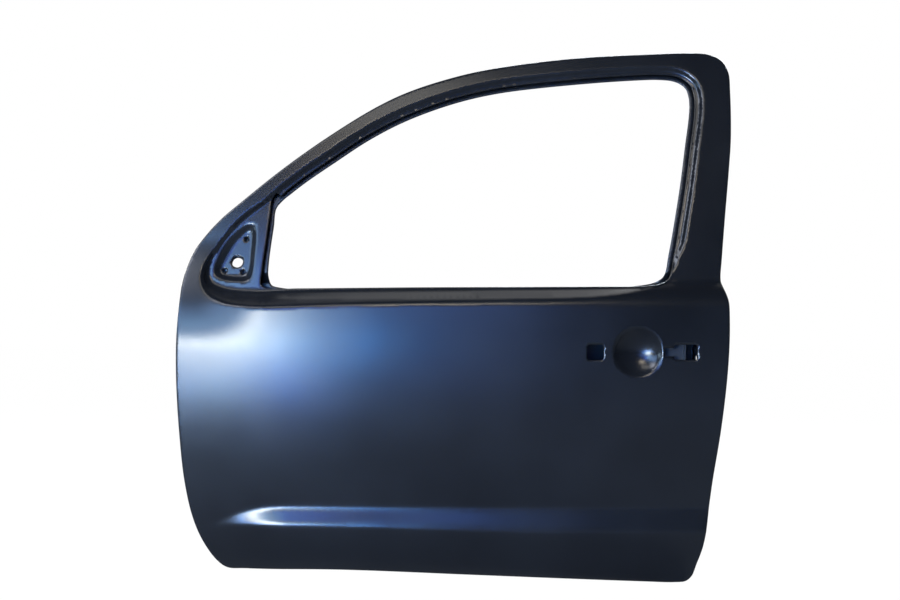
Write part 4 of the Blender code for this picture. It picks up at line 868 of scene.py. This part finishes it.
def across(z):
    """A level line over the trim face, from wall to wall."""
    x = np.arange(HINGE_WALL + 2 * WALL_DRAFT, LATCH_WALL - WALL_DRAFT, EDGE_STEP)
    return np.column_stack([x, np.full(len(x), z)])


def split_line(line):
    """The arch of a closed ring, opened where it drops below the belt."""
    line = line[line[:, 1] > BELT_HEIGHT]
    jump = int(np.argmax(np.linalg.norm(np.diff(line, axis=0), axis=1))) + 1
    return np.vstack([line[jump:], line[:jump]])


def inner_panel(look):
    """The inner pressing: hem flange, land, deep wall, trim face and window frame."""
    rim = inset(PERIMETER, FLANGE_WIDTH)[EDGE_STATIONS]
    inner_hole = circle(MIRROR_X, MIRROR_Z - MIRROR_INNER_DROP, MIRROR_INNER_HOLE_RADIUS)
    holes = [thinned(OPENING, inner_depth), inner_hole]
    for shares in (main_access_shares, rear_access_shares, front_access_shares, handle_access_shares):
        holes.append(thinned(spline(scaled(shares)), inner_depth))
    holes.append(circle(*SPEAKER, SPEAKER_RADIUS, CUP_SIDES))
    holes += [circle(x, z, CLIP_HOLE_RADIUS, CLIP_SIDES) for x, z in scaled(clip_place_shares)]
    wall = thin(on_face(WALL_FOOT, inner_depth))
    lines = [
        (inset(PERIMETER, LAND_START)[EDGE_STATIONS], True),
        (WALL_FOOT[wall], True),
        (WALL_HEAD[wall], True),
        (across(TRIM_TOP), False),
        (across(SILL_BAND_FOOT), False),
        (split_line(LIP[LIP_STATIONS]), False),
        (split_line(inset(LIP, -CHANNEL_RISE)[LIP_STATIONS]), False),
        (circle(*SPEAKER, SPEAKER_RING, CUP_SIDES), True),
        (circle(*SPEAKER, SPEAKER_RING - SPEAKER_RISE, CUP_SIDES), True),
    ]
    net, faces, loops = patch(rim, holes, lines, FILL_STEP)
    points = placed(squared(net), inner_depth(net))
    points[loops[0]] = hem_ring(FLANGE_WIDTH, FLANGE_OFFSET)
    points = list(points)
    faces = [tuple(face) for face in faces]
    faces += strip(loops[0], add_ring(points, hem_ring(FLANGE_START, FLANGE_OFFSET)))
    panel = sheet("pressed_inner", points, faces, look)
    cut(panel, wall_cutters())
    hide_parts("inner_panel")
    return panel


def prism(work, outline, low, high):
    ends = [[work.verts.new(Vector((x, y, z)) + SHIFT) for y, z in outline] for x in (low, high)]
    work.faces.new(ends[0])
    work.faces.new(list(reversed(ends[1])))
    for k in range(len(outline)):
        after = (k + 1) % len(outline)
        work.faces.new((ends[0][k], ends[1][k], ends[1][after], ends[0][after]))


def pair(y, z, spread):
    return [circle(y, z - spread / 2, BOLT_HOLE_RADIUS), circle(y, z + spread / 2, BOLT_HOLE_RADIUS)]


def wall_cutters():
    """The holes through the hinge and latch walls."""
    deep = WALL_DRAFT + SHEET
    slot = rounded_box(HINGE_Y, CHECK_LINK_Z, CHECK_SLOT_LENGTH, CHECK_SLOT_HEIGHT, CHECK_SLOT_HEIGHT / 3)
    hinge = [slot, circle(HINGE_Y, BOOT_HOLE_Z, BOOT_HOLE_RADIUS)]
    hinge += pair(HINGE_Y, UPPER_HINGE_Z, HINGE_BOLT_SPREAD)
    hinge += pair(HINGE_Y, LOWER_HINGE_Z, HINGE_BOLT_SPREAD)
    hinge += pair(HINGE_Y, CHECK_LINK_Z, CHECK_BOLT_SPREAD)
    latch = [rounded_box(LATCH_Y, LATCH_Z, LATCH_SLOT_LENGTH, LATCH_SLOT_HEIGHT, PLATE_CORNER)]
    latch += pair(LATCH_Y, LATCH_Z, LATCH_BOLT_SPREAD)
    work = bmesh.new()
    for wall, outlines in ((HINGE_WALL, hinge), (LATCH_WALL, latch)):
        for outline in outlines:
            prism(work, outline, wall - deep, wall + deep)
    bmesh.ops.recalc_face_normals(work, faces=work.faces)
    mesh = bpy.data.meshes.new("wall_cutter")
    work.to_mesh(mesh)
    work.free()
    cutter = bpy.data.objects.new("wall_cutter", mesh)
    bpy.context.scene.collection.objects.link(cutter)
    return cutter


def cut(panel, cutter):
    """Takes the cutter's shape out of the panel and removes the cutter."""
    holes = panel.modifiers.new("Holes", "BOOLEAN")
    holes.object = cutter
    bpy.context.view_layer.objects.active = panel
    for modifier in list(panel.modifiers):
        bpy.ops.object.modifier_apply(modifier=modifier.name)
    bpy.data.objects.remove(cutter)


def node(tree, kind, **sockets):
    """A shader node with its sockets set or linked by name."""
    made = tree.nodes.new(kind)
    for name, value in sockets.items():
        socket = made.inputs[name.replace("_", " ")]
        if isinstance(value, bpy.types.NodeSocket):
            tree.links.new(value, socket)
        else:
            socket.default_value = value
    return made


def noise(tree, place, name):
    scale, detail, roughness = NOISES[name]
    made = node(tree, "ShaderNodeTexNoise", Vector=place, Scale=scale, Detail=detail, Roughness=roughness)
    return made.outputs["Fac"]


def spread(tree, value, low, high, from_low=NOISE_LOW, from_high=NOISE_HIGH):
    made = node(tree, "ShaderNodeMapRange", Value=value)
    made.inputs["From Min"].default_value = from_low
    made.inputs["From Max"].default_value = from_high
    made.inputs["To Min"].default_value = low
    made.inputs["To Max"].default_value = high
    return made.outputs["Result"]


def blend(tree, share, first, second):
    made = tree.nodes.new("ShaderNodeMix")
    made.data_type = "RGBA"
    for socket, value in ((made.inputs[0], share), (made.inputs[6], first), (made.inputs[7], second)):
        if isinstance(value, bpy.types.NodeSocket):
            tree.links.new(value, socket)
        else:
            socket.default_value = value
    return made.outputs[2]


def joined(tree, operation, first, second):
    """Two values put together by a math node."""
    made = tree.nodes.new("ShaderNodeMath")
    made.operation = operation
    for socket, value in zip(made.inputs, (first, second)):
        if isinstance(value, bpy.types.NodeSocket):
            tree.links.new(value, socket)
        else:
            socket.default_value = value
    return made.outputs[0]


def primer(name):
    """Satin dip coat: a slight peel, cloudy sheen and fine dust."""
    colour, roughness = PRIMERS[name]
    look = bpy.data.materials.new(name)
    look.use_nodes = True
    tree = look.node_tree
    shader = tree.nodes["Principled BSDF"]
    place = node(tree, "ShaderNodeTexCoord").outputs["Object"]
    cloud, grain, dust, peel = [noise(tree, place, kind) for kind in ("cloud", "grain", "dust", "peel")]
    lighter = tuple(c * CLOUD_TINT + CLOUD_LIFT for c in colour)
    tone = blend(tree, spread(tree, cloud, 0.0, 1.0), (*colour, 1), (*lighter, 1))
    specks = spread(tree, dust, 0.0, dust_share, DUST_FROM, DUST_TO)
    tree.links.new(blend(tree, specks, tone, DUST_COLOUR), shader.inputs["Base Color"])
    sheen = spread(tree, cloud, roughness - CLOUD_SHEEN, roughness + CLOUD_SHEEN)
    fine = spread(tree, grain, -GRAIN_SHEEN, GRAIN_SHEEN)
    tree.links.new(joined(tree, "ADD", sheen, fine), shader.inputs["Roughness"])
    bump = node(tree, "ShaderNodeBump", Height=peel, Strength=PEEL_STRENGTH, Distance=PEEL_HEIGHT)
    tree.links.new(bump.outputs["Normal"], shader.inputs["Normal"])
    return look


def mastic():
    """Expanded mastic: matt, uneven and slightly pitted."""
    look = bpy.data.materials.new("mastic")
    look.use_nodes = True
    tree = look.node_tree
    shader = tree.nodes["Principled BSDF"]
    place = node(tree, "ShaderNodeTexCoord").outputs["Object"]
    lumps = noise(tree, place, "lumps")
    tone = blend(tree, spread(tree, lumps, 0.0, 1.0), MASTIC_DARK, MASTIC_PALE)
    tree.links.new(tone, shader.inputs["Base Color"])
    shader.inputs["Roughness"].default_value = MASTIC_ROUGHNESS
    bump = node(tree, "ShaderNodeBump", Height=lumps, Strength=LUMP_STRENGTH, Distance=LUMP_HEIGHT)
    tree.links.new(bump.outputs["Normal"], shader.inputs["Normal"])
    return look


def dress(names, look):
    for name in names:
        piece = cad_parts[name]
        for slot in piece.material_slots:
            slot.material = look


def studio():
    """A pale floor and a white surround that the lamps do not have to light."""
    scene = bpy.context.scene
    world = bpy.data.worlds.new("surround")
    scene.world = world
    world.use_nodes = True
    tree = world.node_tree
    tree.nodes.clear()
    path = tree.nodes.new("ShaderNodeLightPath").outputs
    seen = joined(tree, "MAXIMUM", path["Is Camera Ray"], path["Is Transmission Ray"])
    way = node(tree, "ShaderNodeTexCoord").outputs["Generated"]
    depth = node(tree, "ShaderNodeSeparateXYZ", Vector=way).outputs["Y"]
    behind = spread(tree, depth, 0.0, 1.0, BACKDROP_FROM, BACKDROP_TO)
    mirrored = joined(tree, "MULTIPLY", path["Is Glossy Ray"], behind)
    tone = blend(tree, joined(tree, "MAXIMUM", seen, mirrored), ROOM_COLOUR, (1, 1, 1, 1))
    back = node(tree, "ShaderNodeBackground", Color=tone, Strength=1.0)
    out = node(tree, "ShaderNodeOutputWorld")
    tree.links.new(back.outputs[0], out.inputs["Surface"])
    mesh = bpy.data.meshes.new("floor")
    half, level = FLOOR_SIZE / 2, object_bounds()[0][2] - FLOOR_DROP
    corners = [(-half, -half, level), (half, -half, level), (half, half, level), (-half, half, level)]
    mesh.from_pydata(corners, [], [(0, 1, 2, 3)])
    floor = bpy.data.objects.new("floor", mesh)
    scene.collection.objects.link(floor)
    mesh.materials.append(pale_floor())


def pale_floor():
    look = bpy.data.materials.new("pale_floor")
    look.use_nodes = True
    tree = look.node_tree
    tree.nodes.clear()
    path = tree.nodes.new("ShaderNodeLightPath").outputs
    diffuse = node(tree, "ShaderNodeBsdfDiffuse", Color=(FLOOR_GREY, FLOOR_GREY, FLOOR_GREY, 1))
    white = node(tree, "ShaderNodeEmission", Color=(1, 1, 1, 1), Strength=FLOOR_GLOW)
    mix = node(tree, "ShaderNodeMixShader", Fac=joined(tree, "MULTIPLY", path["Is Camera Ray"], FLOOR_WHITE))
    tree.links.new(diffuse.outputs[0], mix.inputs[1])
    tree.links.new(white.outputs[0], mix.inputs[2])
    out = node(tree, "ShaderNodeOutputMaterial")
    tree.links.new(mix.outputs[0], out.inputs["Surface"])
    return look


def lamp(name, place, size, power, colour):
    light = bpy.data.lights.new(name, "AREA")
    light.shape = "RECTANGLE"
    light.size, light.size_y = size
    light.energy = power
    light.color = colour
    made = bpy.data.objects.new(name, light)
    made.location = place
    made.rotation_euler = (Vector(LAMP_AIM) - Vector(place)).to_track_quat("-Z", "Y").to_euler()
    bpy.context.scene.collection.objects.link(made)
    return made


def camera():
    lens = bpy.data.cameras.new("camera")
    lens.sensor_width = SENSOR
    lens.lens = FOCAL
    made = bpy.data.objects.new("camera", lens)
    made.location = Vector((CAMERA_X, -CAMERA_DISTANCE, CAMERA_Z)) + SHIFT
    made.rotation_euler = (math.pi / 2, 0, 0)
    bpy.context.scene.collection.objects.link(made)
    bpy.context.scene.camera = made


outer_panel(primer("outer_primer"))
inner_panel(primer("inner_primer"))
nuts = [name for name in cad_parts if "_nut_" in name]
pads = [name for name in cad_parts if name.startswith("mastic_pad_")]
steel = set(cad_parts) - set(nuts) - set(pads) - {"outer_panel", "inner_panel"}
dress(nuts, primer("nut_primer"))
dress(pads, mastic())
dress(sorted(steel), primer("reinforcement_primer"))

camera()
studio()
for name, settings in LAMPS.items():
    lamp(name, *settings)
bpy.context.scene.view_settings.view_transform = "Standard"
